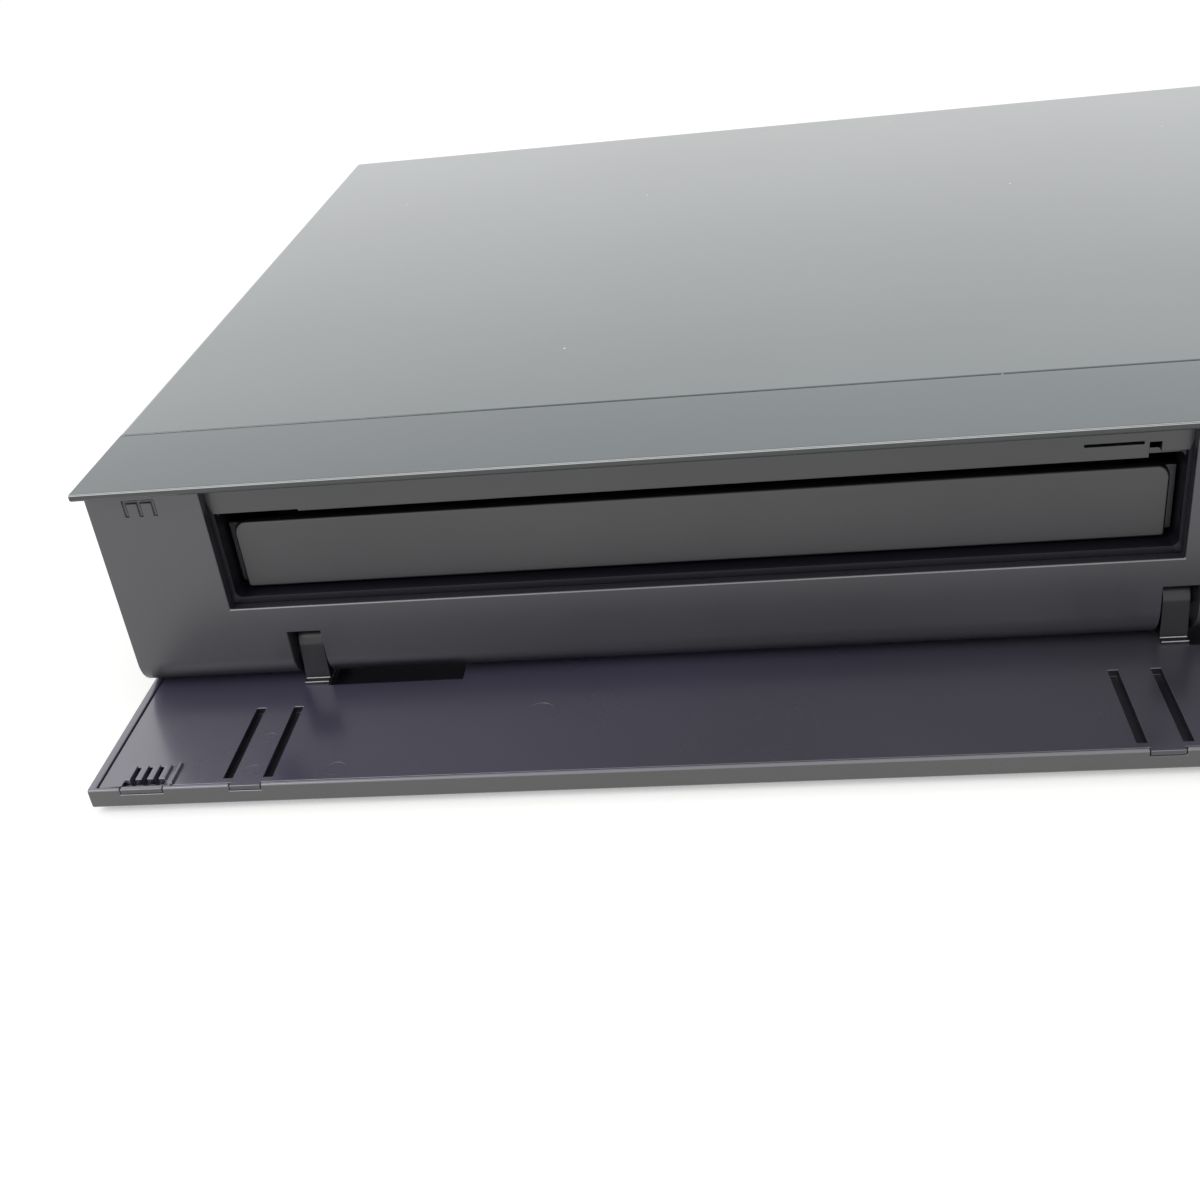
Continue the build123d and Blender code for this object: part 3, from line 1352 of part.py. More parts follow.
with BuildPart() as capacitors:
    for x, setback, radius, height in capacitor_places:
        post(x, lip_y + setback, (board_top_z, board_top_z + height), radius)
capacitors.part.label = "capacitors"
export_step(capacitors.part, "parts/capacitors.step")

with BuildPart() as power_heat_sink:
    fin_z = (board_top_z, board_top_z + power_sink_height)
    power_sink_y = behind(*power_sink_setbacks)
    block((power_sink_x[1] - power_sink_wall, power_sink_x[1]), power_sink_y, fin_z)
    block(power_sink_x, (power_sink_y[1] - power_sink_wall, power_sink_y[1]), fin_z)
power_heat_sink.part.label = "power_heat_sink"
export_step(power_heat_sink.part, "parts/power_heat_sink.step")

with BuildPart() as ac_inlet:
    inlet_front_y = socket_y - inlet_length
    foot_half = inlet_size[0] / 2 - inlet_foot / 2
    block(around(inlet_x, inlet_size[0]), (inlet_front_y, socket_y), around(inlet_z, inlet_size[1]))
    block(around(inlet_x, 2 * foot_half), (inlet_front_y, inlet_front_y + inlet_foot),
          (board_top_z, inlet_z - inlet_size[1] / 2))
    with BuildSketch(Plane.XZ.offset(-socket_y)):
        with Locations((inlet_x, inlet_z)):
            SlotOverall(*inlet_mouth)
    extrude(amount=inlet_depth, mode=Mode.SUBTRACT)
    for side in (-1, 1):
        rod(inlet_x + side * pin_spacing / 2, (socket_y - inlet_depth, socket_y - pin_recess), inlet_z,
            pin_radius)
ac_inlet.part.label = "ac_inlet"
export_step(ac_inlet.part, "parts/ac_inlet.step")


# Hard disk on rubber dampers over its bent bracket
with BuildPart() as hdd_bracket:
    bracket_sides = widened(hdd_x, bracket_margin)
    plate_z = (board_z, board_z + bracket_sheet)
    block(bracket_sides, (hdd_y[0], hdd_y[1] + bracket_sheet), plate_z)
    block(widened(hdd_x, -bracket_window), widened(hdd_y, -bracket_window), plate_z, Mode.SUBTRACT)
    for ear_x in ((bracket_sides[0], bracket_sides[0] + bracket_sheet),
                  (bracket_sides[1] - bracket_sheet, bracket_sides[1])):
        block(ear_x, widened(hdd_y, -bracket_ear[0]), (plate_z[1], board_z + bracket_ear[1]))
hdd_bracket.part.label = "hdd_bracket"
export_step(hdd_bracket.part, "parts/hdd_bracket.step")

with BuildPart() as hdd_dampers:
    for x in widened(hdd_x, -hdd_damper_inset[0]):
        for y in widened(hdd_y, -hdd_damper_inset[1]):
            post(x, y, (plate_z[1], hdd_z), hdd_damper_radius)
hdd_dampers.part.label = "hdd_dampers"
export_step(hdd_dampers.part, "parts/hdd_dampers.step")

with BuildPart() as hard_disk:
    lid_z = hdd_z + hdd_size[2] - hdd_lid[1]
    block(hdd_x, hdd_y, (hdd_z, lid_z))
    fillet(hard_disk.edges().filter_by(Axis.Z), hdd_round)
    block(widened(hdd_x, -hdd_lid[0]), widened(hdd_y, -hdd_lid[1]), (lid_z, lid_z + hdd_lid[1]))
hard_disk.part.label = "hard_disk"
export_step(hard_disk.part, "parts/hard_disk.step")


# Cooling fan against the rear grille
strut_front_y = fan_back_y - fan_plate

with BuildPart() as fan_frame:
    with BuildSketch(Plane.XZ.offset(-fan_front_y)):
        with Locations((fan_x, fan_z)):
            RectangleRounded(fan_size, fan_size, fan_round)
            Circle(fan_bore, mode=Mode.SUBTRACT)
    extrude(amount=-fan_depth)
    with BuildSketch(Plane.XZ.offset(-strut_front_y)):
        with Locations((fan_x, fan_z)):
            Circle(fan_hub)
            with PolarLocations((fan_bore + fan_hub) / 2, 3):
                Rectangle(fan_bore - fan_hub + cutter, fan_strut)
    extrude(amount=-fan_plate)
fan_frame.part.label = "fan_frame"
export_step(fan_frame.part, "parts/fan_frame.step")

with BuildPart() as fan_rotor:
    blade_length = fan_bore - fan_tip_gap - fan_hub + blade_root
    rod(fan_x, (fan_front_y + fan_front_gap, strut_front_y - fit_gap), fan_z, fan_hub)
    for blade in range(blade_count):
        turn = 2 * pi * blade / blade_count
        hub_middle = (fan_x, (fan_front_y + strut_front_y) / 2, fan_z)
        spoke = Plane(origin=hub_middle, z_dir=(cos(turn), 0, sin(turn)))
        with BuildSketch(spoke.offset(fan_hub - blade_root)):
            Rectangle(*blade_size, rotation=blade_pitch)
        extrude(amount=blade_length)
fan_rotor.part.label = "fan_rotor"
export_step(fan_rotor.part, "parts/fan_rotor.step")
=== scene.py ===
"""Looks of the slim disc recorder, laid out as a Blender add-on and run as a script."""

import json
from math import radians

import bmesh
import bpy
from bpy.props import FloatProperty, FloatVectorProperty, PointerProperty, StringProperty
from mathutils import Matrix, Vector

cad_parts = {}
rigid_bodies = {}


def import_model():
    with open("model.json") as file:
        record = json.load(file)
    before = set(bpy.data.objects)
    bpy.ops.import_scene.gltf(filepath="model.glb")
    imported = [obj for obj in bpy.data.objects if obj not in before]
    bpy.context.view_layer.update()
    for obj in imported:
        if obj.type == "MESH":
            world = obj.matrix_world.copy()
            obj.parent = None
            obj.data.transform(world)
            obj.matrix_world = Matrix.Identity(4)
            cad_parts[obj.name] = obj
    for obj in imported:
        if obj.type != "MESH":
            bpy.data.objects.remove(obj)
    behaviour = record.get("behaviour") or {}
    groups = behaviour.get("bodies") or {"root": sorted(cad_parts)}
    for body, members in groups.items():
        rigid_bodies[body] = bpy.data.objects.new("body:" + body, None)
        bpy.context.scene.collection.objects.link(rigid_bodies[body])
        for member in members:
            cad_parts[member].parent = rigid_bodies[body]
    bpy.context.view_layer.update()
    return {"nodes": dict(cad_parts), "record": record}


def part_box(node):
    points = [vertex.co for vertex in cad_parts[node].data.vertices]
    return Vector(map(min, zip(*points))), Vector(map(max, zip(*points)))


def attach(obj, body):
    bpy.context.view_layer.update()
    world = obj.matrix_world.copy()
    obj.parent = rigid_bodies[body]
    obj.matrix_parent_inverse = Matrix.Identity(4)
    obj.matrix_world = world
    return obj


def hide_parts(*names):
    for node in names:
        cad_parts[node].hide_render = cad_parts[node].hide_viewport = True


bl_info = {
    "name": "Disc recorder looks",
    "version": (1, 0, 0),
    "blender": (4, 5, 0),
    "location": "View3D > Sidebar > Recorder",
    "description": "Dresses the packed disc recorder with its finishes, small parts, camera and light",
    "category": "Object",
}

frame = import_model()
MM = 0.001

# The least part of a normal that lies along an axis, for a face that looks straight along it or aslant
STRAIGHT = 0.9
ASLANT = 0.2

# CAD points closer than this many millimetres are one, and edges sharper than EDGE_ANGLE are rounded
WELD_DISTANCE = 0.002
EDGE_ANGLE = radians(35)
# Faces that meet at less than this are shaded as one surface
SMOOTH_ANGLE = radians(30)
# Nearly all the values of a noise texture lie between these two
NOISE_LOW, NOISE_HIGH = 0.3, 0.7

# Ejector marks on the door's liner: place and radius in millimetres
EJECTOR_MARKS = [(-188.4, -103.1, 1.2), (-188.9, -111.5, 1.3), (-175.3, -111.9, 1.6), (-144.9, -99.4, 2.6),
                 (144.9, -99.4, 2.6), (-20.0, -99.4, 2.6), (20.0, -111.0, 1.6)]


def body_of_node(node):
    """The moving body that a CAD node belongs to."""
    for body, members in frame["record"]["behaviour"]["bodies"].items():
        if node in members:
            return body
    raise RuntimeError(f"no body holds {node}")


# Sizes and colours that a user would change
class RecorderStage(bpy.types.PropertyGroup):
    """Camera, floor and lamps."""

    camera_place: FloatVectorProperty(
        name="Camera place", description="Where the photographer's lens was, from the recorder's middle",
        size=3, subtype="TRANSLATION", unit="LENGTH", default=(-0.1068, -0.2804, 0.1330),
    )
    camera_turn: FloatVectorProperty(
        name="Camera turn", description="The camera's XYZ angles", size=3, subtype="EULER",
        default=(radians(59.157), radians(6.251), radians(4.550)),
    )
    camera_lens: FloatProperty(
        name="Lens", description="Focal length on a 36 mm wide sensor", unit="CAMERA", default=42.4,
    )
    floor_size: FloatProperty(name="Floor", description="Width of the pale floor", unit="LENGTH", default=8.0)
    floor_colour: StringProperty(
        name="Floor colour", description="sRGB hex colour of the floor", default="F4F4F2",
    )
    floor_glow: FloatProperty(
        name="Floor glow", description="Light that the floor adds for the lens and in gloss", default=0.3,
    )
    sky_strength: FloatProperty(name="Sky", description="Strength of the white surroundings", default=0.78)
    lamp_place: FloatVectorProperty(
        name="Lamp place", description="Where the soft lamp hangs, from the recorder's middle",
        size=3, subtype="TRANSLATION", unit="LENGTH", default=(-0.6, -0.55, 0.65),
    )
    lamp_size: FloatProperty(
        name="Lamp size", description="Width of the soft lamp", unit="LENGTH", default=0.6,
    )
    lamp_power: FloatProperty(
        name="Lamp", description="Power of the soft lamp over the left side", unit="POWER", default=2.4,
    )


class RecorderFinish(bpy.types.PropertyGroup):
    """Colours of the visible surfaces, as sRGB hex values."""

    paint: StringProperty(
        name="Cover paint", description="Satin paint on the steel cover", default="4C595D",
    )
    strip: StringProperty(
        name="Strip paint", description="Satin paint on the plastic strip", default="3F4D52",
    )
    panel: StringProperty(name="Front panel", description="Moulded front panel", default="282830")
    plate: StringProperty(name="Tray plate", description="Front plate of the disc tray", default="17181E")
    door: StringProperty(name="Door", description="Outer shell and liner of the door", default="484559")
    surround: StringProperty(name="Tray surround", description="Dark frame round the tray", default="15131C")
    board: StringProperty(name="Boards", description="Solder mask of the boards", default="1E5B38")


class RecorderDetail(bpy.types.PropertyGroup):
    """Sizes of small details."""

    edge_round: FloatProperty(
        name="Edge round", description="Radius of moulded and bent edges", unit="LENGTH", default=0.2 * MM,
    )


# Colour and node helpers
def linear(hex_colour):
    """An sRGB hex colour as the linear values that Blender's sockets take."""
    channels = [int(hex_colour[i:i + 2], 16) / 255 for i in (0, 2, 4)]
    return tuple(c / 12.92 if c <= 0.04045 else ((c + 0.055) / 1.055) ** 2.4 for c in channels) + (1.0,)


def add(tree, kind, inputs=None, **settings):
    """Adds a node with its settings; an input that is a socket is linked, any other is a value."""
    made = tree.nodes.new(kind)
    for name, value in settings.items():
        setattr(made, name, value)
    for name, value in (inputs or {}).items():
        if isinstance(value, bpy.types.NodeSocket):
            tree.links.new(value, made.inputs[name])
        else:
            made.inputs[name].default_value = value
    return made


def blank_material(name):
    """A new material with an empty tree, its output node and the Object coordinates."""
    material = bpy.data.materials.new(name)
    material.use_nodes = True
    tree = material.node_tree
    tree.nodes.clear()
    place = add(tree, "ShaderNodeTexCoord").outputs["Object"]
    return material, tree, place


def per_metre(millimetres):
    """The texture scale whose features are this many millimetres apart."""
    return 1000.0 / millimetres


def mottle(tree, place, dark, light, size_mm, low=0.35, high=0.65):
    """A slow change between two colours over patches of a real size."""
    noise = add(tree, "ShaderNodeTexNoise", {"Vector": place, "Scale": per_metre(size_mm), "Detail": 3.0})
    ramp = add(tree, "ShaderNodeValToRGB", {"Fac": noise.outputs["Fac"]})
    ramp.color_ramp.elements[0].position = low
    ramp.color_ramp.elements[0].color = dark
    ramp.color_ramp.elements[1].position = high
    ramp.color_ramp.elements[1].color = light
    return ramp.outputs["Color"]


def grain(tree, place, size_mm, depth_mm, strength=0.5):
    """A bump whose bumps are a real distance apart and a real depth."""
    noise = add(tree, "ShaderNodeTexNoise", {"Vector": place, "Scale": per_metre(size_mm), "Detail": 2.0})
    return add(tree, "ShaderNodeBump", {
        "Height": noise.outputs["Fac"], "Distance": depth_mm * MM, "Strength": strength}).outputs["Normal"]


def roughness_patches(tree, place, low, high, size_mm):
    """Roughness that drifts between two values, as wiped and handled surfaces do."""
    noise = add(tree, "ShaderNodeTexNoise", {"Vector": place, "Scale": per_metre(size_mm), "Detail": 4.0})
    return add(tree, "ShaderNodeMapRange", {
        "Value": noise.outputs["Fac"], "From Min": NOISE_LOW, "From Max": NOISE_HIGH, "To Min": low,
        "To Max": high}).outputs["Result"]


def seen_directly(tree):
    """One for the camera's, glossy and transmission rays, nothing for the rays that light the recorder."""
    path = add(tree, "ShaderNodeLightPath")
    seen = path.outputs["Is Camera Ray"]
    for kind in ("Is Glossy Ray", "Is Transmission Ray"):
        seen = add(tree, "ShaderNodeMath", {0: seen, 1: path.outputs[kind]}, operation="MAXIMUM").outputs[0]
    return seen


def shade(colour, factor):
    """A linear colour made darker or lighter by a factor."""
    return tuple(min(1.0, c * factor) for c in colour[:3]) + (1.0,)


# Painted steel or plastic, sprayed: a satin film with faint orange peel and a few specks of dust
def sprayed_paint(name, hex_colour, level, coat, low=0.12, high=0.17):
    material, tree, place = blank_material(name)
    base = linear(hex_colour)
    film = mottle(tree, place, shade(base, 0.9), shade(base, 1.08), 60.0)
    spacing, speck_radius, clean_share = 10.0, 0.24, 0.72
    cells = add(tree, "ShaderNodeTexVoronoi", {"Vector": place, "Scale": per_metre(spacing)})
    near = add(tree, "ShaderNodeMath", {
        0: cells.outputs["Distance"], 1: speck_radius / spacing}, operation="LESS_THAN")
    pick = add(tree, "ShaderNodeSeparateColor", {"Color": cells.outputs["Color"]})
    few = add(tree, "ShaderNodeMath", {0: pick.outputs["Red"], 1: clean_share}, operation="GREATER_THAN")
    speck = add(tree, "ShaderNodeMath", {
        0: near.outputs["Value"], 1: few.outputs["Value"]}, operation="MULTIPLY")
    colour = add(tree, "ShaderNodeMix", {
        "Factor": speck.outputs["Value"], "A": film, "B": linear("E4E4DE")}, data_type="RGBA")
    shader = add(tree, "ShaderNodeBsdfPrincipled", {
        "Base Color": colour.outputs["Result"],
        "Roughness": roughness_patches(tree, place, low, high, 45.0), "IOR": 1.5, "Specular IOR Level": level,
        "Coat Weight": coat, "Coat Roughness": 0.1, "Coat IOR": 1.45,
        "Normal": grain(tree, place, 0.9, 0.008)})
    add(tree, "ShaderNodeOutputMaterial", {"Surface": shader.outputs["BSDF"]})
    return material


# Moulded plastic: spark-eroded texture, slight drift of gloss where hands and cloths went
def moulded_plastic(name, hex_colour, roughness, grain_mm, depth_mm, ior=1.54, level=1.0, coat=0.0):
    material, tree, place = blank_material(name)
    base = linear(hex_colour)
    shader = add(tree, "ShaderNodeBsdfPrincipled", {
        "Base Color": mottle(tree, place, shade(base, 0.93), shade(base, 1.06), 30.0),
        "Roughness": roughness_patches(tree, place, roughness * 0.9, roughness * 1.12, 25.0),
        "IOR": ior, "Specular IOR Level": level, "Coat Weight": coat, "Coat Roughness": 0.08,
        "Normal": grain(tree, place, grain_mm, depth_mm)})
    add(tree, "ShaderNodeOutputMaterial", {"Surface": shader.outputs["BSDF"]})
    return material


# Smoked acrylic, moulded and hard-coated: a dark bluish body that clouds towards grey, under a clear skin
def smoked_acrylic(hex_colour):
    material, tree, place = blank_material("smoked_acrylic")
    base = linear(hex_colour)
    cloud = mottle(tree, place, base, linear("3F3E45"), 170.0, 0.42, 0.6)
    shader = add(tree, "ShaderNodeBsdfPrincipled", {
        "Base Color": cloud, "Roughness": roughness_patches(tree, place, 0.26, 0.36, 30.0),
        "IOR": 1.72, "Specular IOR Level": 1.0, "Coat Weight": 1.0, "Coat Roughness": 0.18, "Coat IOR": 1.5,
        "Normal": grain(tree, place, 0.9, 0.004)})
    add(tree, "ShaderNodeOutputMaterial", {"Surface": shader.outputs["BSDF"]})
    return material


# Hot-dip galvanised sheet: pale zinc with flat crystal flowers
def galvanised_steel():
    material, tree, place = blank_material("galvanised_steel")
    flowers = add(tree, "ShaderNodeTexVoronoi", {"Vector": place, "Scale": per_metre(2.6)})
    tone = add(tree, "ShaderNodeSeparateColor", {"Color": flowers.outputs["Color"]})
    ramp = add(tree, "ShaderNodeValToRGB", {"Fac": tone.outputs["Red"]})
    ramp.color_ramp.elements[0].color = linear("A3A5A6")
    ramp.color_ramp.elements[1].color = linear("AFB1B1")
    rough = add(tree, "ShaderNodeMapRange", {
        "Value": tone.outputs["Green"], "To Min": 0.34, "To Max": 0.4})
    shader = add(tree, "ShaderNodeBsdfPrincipled", {
        "Base Color": ramp.outputs["Color"], "Metallic": 1.0, "Roughness": rough.outputs["Result"],
        "Normal": grain(tree, place, 0.8, 0.004)})
    add(tree, "ShaderNodeOutputMaterial", {"Surface": shader.outputs["BSDF"]})
    return material


# Bare metal, turned, drawn or cast: one tone with fine tool marks
def bare_metal(name, hex_colour, roughness, grain_mm, depth_mm):
    material, tree, place = blank_material(name)
    base = linear(hex_colour)
    shader = add(tree, "ShaderNodeBsdfPrincipled", {
        "Base Color": mottle(tree, place, shade(base, 0.92), shade(base, 1.04), 12.0), "Metallic": 1.0,
        "Roughness": roughness_patches(tree, place, roughness * 0.85, roughness * 1.2, 8.0),
        "Normal": grain(tree, place, grain_mm, depth_mm)})
    add(tree, "ShaderNodeOutputMaterial", {"Surface": shader.outputs["BSDF"]})
    return material


# Printed circuit board: green solder mask with the copper tracks showing faintly through it
def circuit_board(hex_colour):
    material, tree, place = blank_material("circuit_board_solder_mask")
    base = linear(hex_colour)
    tracks = add(tree, "ShaderNodeTexBrick", {
        "Vector": place, "Scale": per_metre(9.0), "Color1": base, "Color2": shade(base, 0.85),
        "Mortar": shade(base, 1.5), "Mortar Size": 0.03, "Brick Width": 0.9, "Row Height": 0.18})
    shader = add(tree, "ShaderNodeBsdfPrincipled", {
        "Base Color": tracks.outputs["Color"], "Roughness": 0.35, "IOR": 1.55,
        "Normal": grain(tree, place, 1.5, 0.01)})
    add(tree, "ShaderNodeOutputMaterial", {"Surface": shader.outputs["BSDF"]})
    return material


# Rubber, moulded: dull and slightly bloomed
def rubber():
    material, tree, place = blank_material("moulded_rubber")
    shader = add(tree, "ShaderNodeBsdfPrincipled", {
        "Base Color": mottle(tree, place, linear("141415"), linear("242424"), 5.0),
        "Roughness": 0.8, "IOR": 1.52, "Normal": grain(tree, place, 0.4, 0.02)})
    add(tree, "ShaderNodeOutputMaterial", {"Surface": shader.outputs["BSDF"]})
    return material


# Glass or clear acrylic lens
def clear_lens():
    material, tree, place = blank_material("coated_lens_glass")
    shader = add(tree, "ShaderNodeBsdfPrincipled", {
        "Base Color": mottle(tree, place, linear("7A90C8"), linear("8CA8DC"), 2.0), "Roughness": 0.03,
        "IOR": 1.52, "Transmission Weight": 0.7})
    add(tree, "ShaderNodeOutputMaterial", {"Surface": shader.outputs["BSDF"]})
    return material


# The finishes by name, filled by the first operator that needs them
materials = {}


# Mesh helpers
def clear_selection():
    """Leaves object mode with nothing selected."""
    if bpy.context.object and bpy.context.object.mode != "OBJECT":
        bpy.ops.object.mode_set(mode="OBJECT")
    bpy.ops.object.select_all(action="DESELECT")


def activate(piece):
    """Makes a piece the only one selected, and active."""
    clear_selection()
    piece.select_set(True)
    bpy.context.view_layer.objects.active = piece


def solid_boxes(node):
    """Lowest and highest corner of each separate solid of a CAD node, from left to right."""
    mesh = frame["nodes"][node].data
    owner = {}

    def root(key):
        while owner.setdefault(key, key) != key:
            owner[key] = owner[owner[key]]
            key = owner[key]
        return key

    keys = [tuple(round(c, 6) for c in vertex.co) for vertex in mesh.vertices]
    for a, b in mesh.edge_keys:
        owner[root(keys[a])] = root(keys[b])
    groups = {}
    for key in set(keys):
        groups.setdefault(root(key), []).append(key)
    boxes = []
    for group in groups.values():
        boxes.append(tuple(Vector(pick(c) for c in zip(*group)) for pick in (min, max)))
    return sorted(boxes, key=lambda box: tuple(box[0]))


def finished(piece, node, material=None):
    """Gives a piece its material, by default its CAD node's slot's finish, and lets it ride with its CAD
    node's body.
    """
    slot = next(part["material_slot"] for part in frame["record"]["subparts"] if part["node"] == node)
    piece.data.materials.clear()
    piece.data.materials.append(materials[material or slot])
    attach(piece, body_of_node(node))
    return piece


def pick_faces(piece, test):
    """In edit mode, selects the faces whose middle and normal pass a test."""
    shape = bmesh.from_edit_mesh(piece.data)
    for face in shape.faces:
        face.select_set(test(face.calc_center_median(), face.normal))
    shape.select_flush_mode()
    bmesh.update_edit_mesh(piece.data)


def softened(node, radius, material=None):
    """A copy of a CAD node with its sharp edges rounded, which stands for it."""
    source = frame["nodes"][node]
    piece = bpy.data.objects.new(f"{node}_rounded", source.data.copy())
    bpy.context.collection.objects.link(piece)
    activate(piece)
    bpy.ops.object.mode_set(mode="EDIT")
    bpy.ops.mesh.select_all(action="SELECT")
    bpy.ops.mesh.remove_doubles(threshold=WELD_DISTANCE * MM)
    bpy.ops.object.mode_set(mode="OBJECT")
    bpy.ops.object.shade_smooth()
    round_over = piece.modifiers.new("round_over", "BEVEL")
    round_over.width = radius * MM
    round_over.segments = 2
    round_over.limit_method = "ANGLE"
    round_over.angle_limit = EDGE_ANGLE
    round_over.use_clamp_overlap = False
    round_over.loop_slide = False
    round_over.harden_normals = True
    bpy.ops.object.modifier_apply(modifier="round_over")
    # Large flat faces keep their own normals, so that the light bends only over the rounding
    facing = piece.modifiers.new("facing", "WEIGHTED_NORMAL")
    facing.weight = 90
    facing.keep_sharp = True
    bpy.ops.object.modifier_apply(modifier="facing")
    finished(piece, node, material)
    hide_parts(node)
    return piece


def tint(piece, material, test):
    """Gives a second material to the faces of a piece whose middle and normal pass a test."""
    piece.data.materials.append(materials[material])
    index = len(piece.data.materials) - 1
    for face in piece.data.polygons:
        if test(face.center / MM, face.normal):
            face.material_index = index


def turned(name, profile, sides=32):
    """A shape turned round Z through (radius, height) pairs in millimetres, closed at both ends."""
    clear_selection()
    radius, height = profile[0]
    bpy.ops.mesh.primitive_circle_add(vertices=sides, radius=radius * MM, fill_type="NGON",
                                      location=(0, 0, height * MM))
    piece = bpy.context.object
    piece.name = name
    bpy.ops.object.transform_apply(location=True, rotation=True, scale=True)
    bpy.ops.object.mode_set(mode="EDIT")
    bpy.ops.mesh.select_all(action="SELECT")
    for (last, low), (radius, height) in zip(profile, profile[1:]):
        bpy.ops.mesh.extrude_region_move(TRANSFORM_OT_translate={"value": (0, 0, (height - low) * MM)})
        bpy.ops.transform.resize(value=(radius / last, radius / last, 1), center_override=(0, 0, 0))
    bpy.ops.mesh.select_all(action="SELECT")
    bpy.ops.mesh.normals_make_consistent(inside=False)
    bpy.ops.object.mode_set(mode="OBJECT")
    bpy.ops.object.shade_smooth_by_angle(angle=SMOOTH_ANGLE)
    return piece


def brick(name, low, high, round_mm=0.0):
    """A block between two corners in millimetres, with its edges rounded."""
    clear_selection()
    size = [(b - a) * MM for a, b in zip(low, high)]
    middle = [(a + b) / 2 * MM for a, b in zip(low, high)]
    bpy.ops.mesh.primitive_cube_add(size=1, location=middle)
    piece = bpy.context.object
    piece.name = name
    piece.scale = size
    bpy.ops.object.transform_apply(location=True, rotation=True, scale=True)
    if round_mm:
        bpy.ops.object.mode_set(mode="EDIT")
        bpy.ops.mesh.select_all(action="SELECT")
        bpy.ops.mesh.bevel(offset=round_mm * MM, segments=2, affect="EDGES")
        bpy.ops.object.mode_set(mode="OBJECT")
        bpy.ops.object.shade_smooth_by_angle(angle=SMOOTH_ANGLE)
    return piece


def cut_away(piece, cutter):
    """Cuts one piece's shape out of another and removes the cutter."""
    activate(piece)
    difference = piece.modifiers.new("difference", "BOOLEAN")
    difference.operation = "DIFFERENCE"
    difference.solver = "EXACT"
    difference.object = cutter
    bpy.ops.object.modifier_apply(modifier="difference")
    bpy.data.objects.remove(cutter)


def stood(piece, place, towards):
    """Puts a piece made along Z at a place, pointing in a direction, with its place in its mesh."""
    turn = Vector(towards).to_track_quat("Z", "Y").to_matrix().to_4x4()
    piece.matrix_world = Matrix.Translation(place) @ turn
    activate(piece)
    bpy.ops.object.transform_apply(location=True, rotation=True, scale=True)
    return piece


def contact_row(x, count, pitch, width, y_ends, z_ends, round_mm):
    """Flat contacts side by side along X, in millimetres."""
    row = []
    for step in range(count):
        middle = x + (step - (count - 1) / 2) * pitch
        low = (middle - width / 2, y_ends[0], z_ends[0])
        high = (middle + width / 2, y_ends[1], z_ends[1])
        row.append(brick("contact", low, high, round_mm))
    return row


def copied(piece):
    """A copy of a piece with a mesh of its own."""
    twin = piece.copy()
    twin.data = piece.data.copy()
    bpy.context.collection.objects.link(twin)
    return twin


def joined(name, pieces):
    """Several shapes as one piece."""
    clear_selection()
    for piece in pieces:
        piece.select_set(True)
    bpy.context.view_layer.objects.active = pieces[0]
    bpy.ops.object.join()
    pieces[0].name = name
    return pieces[0]


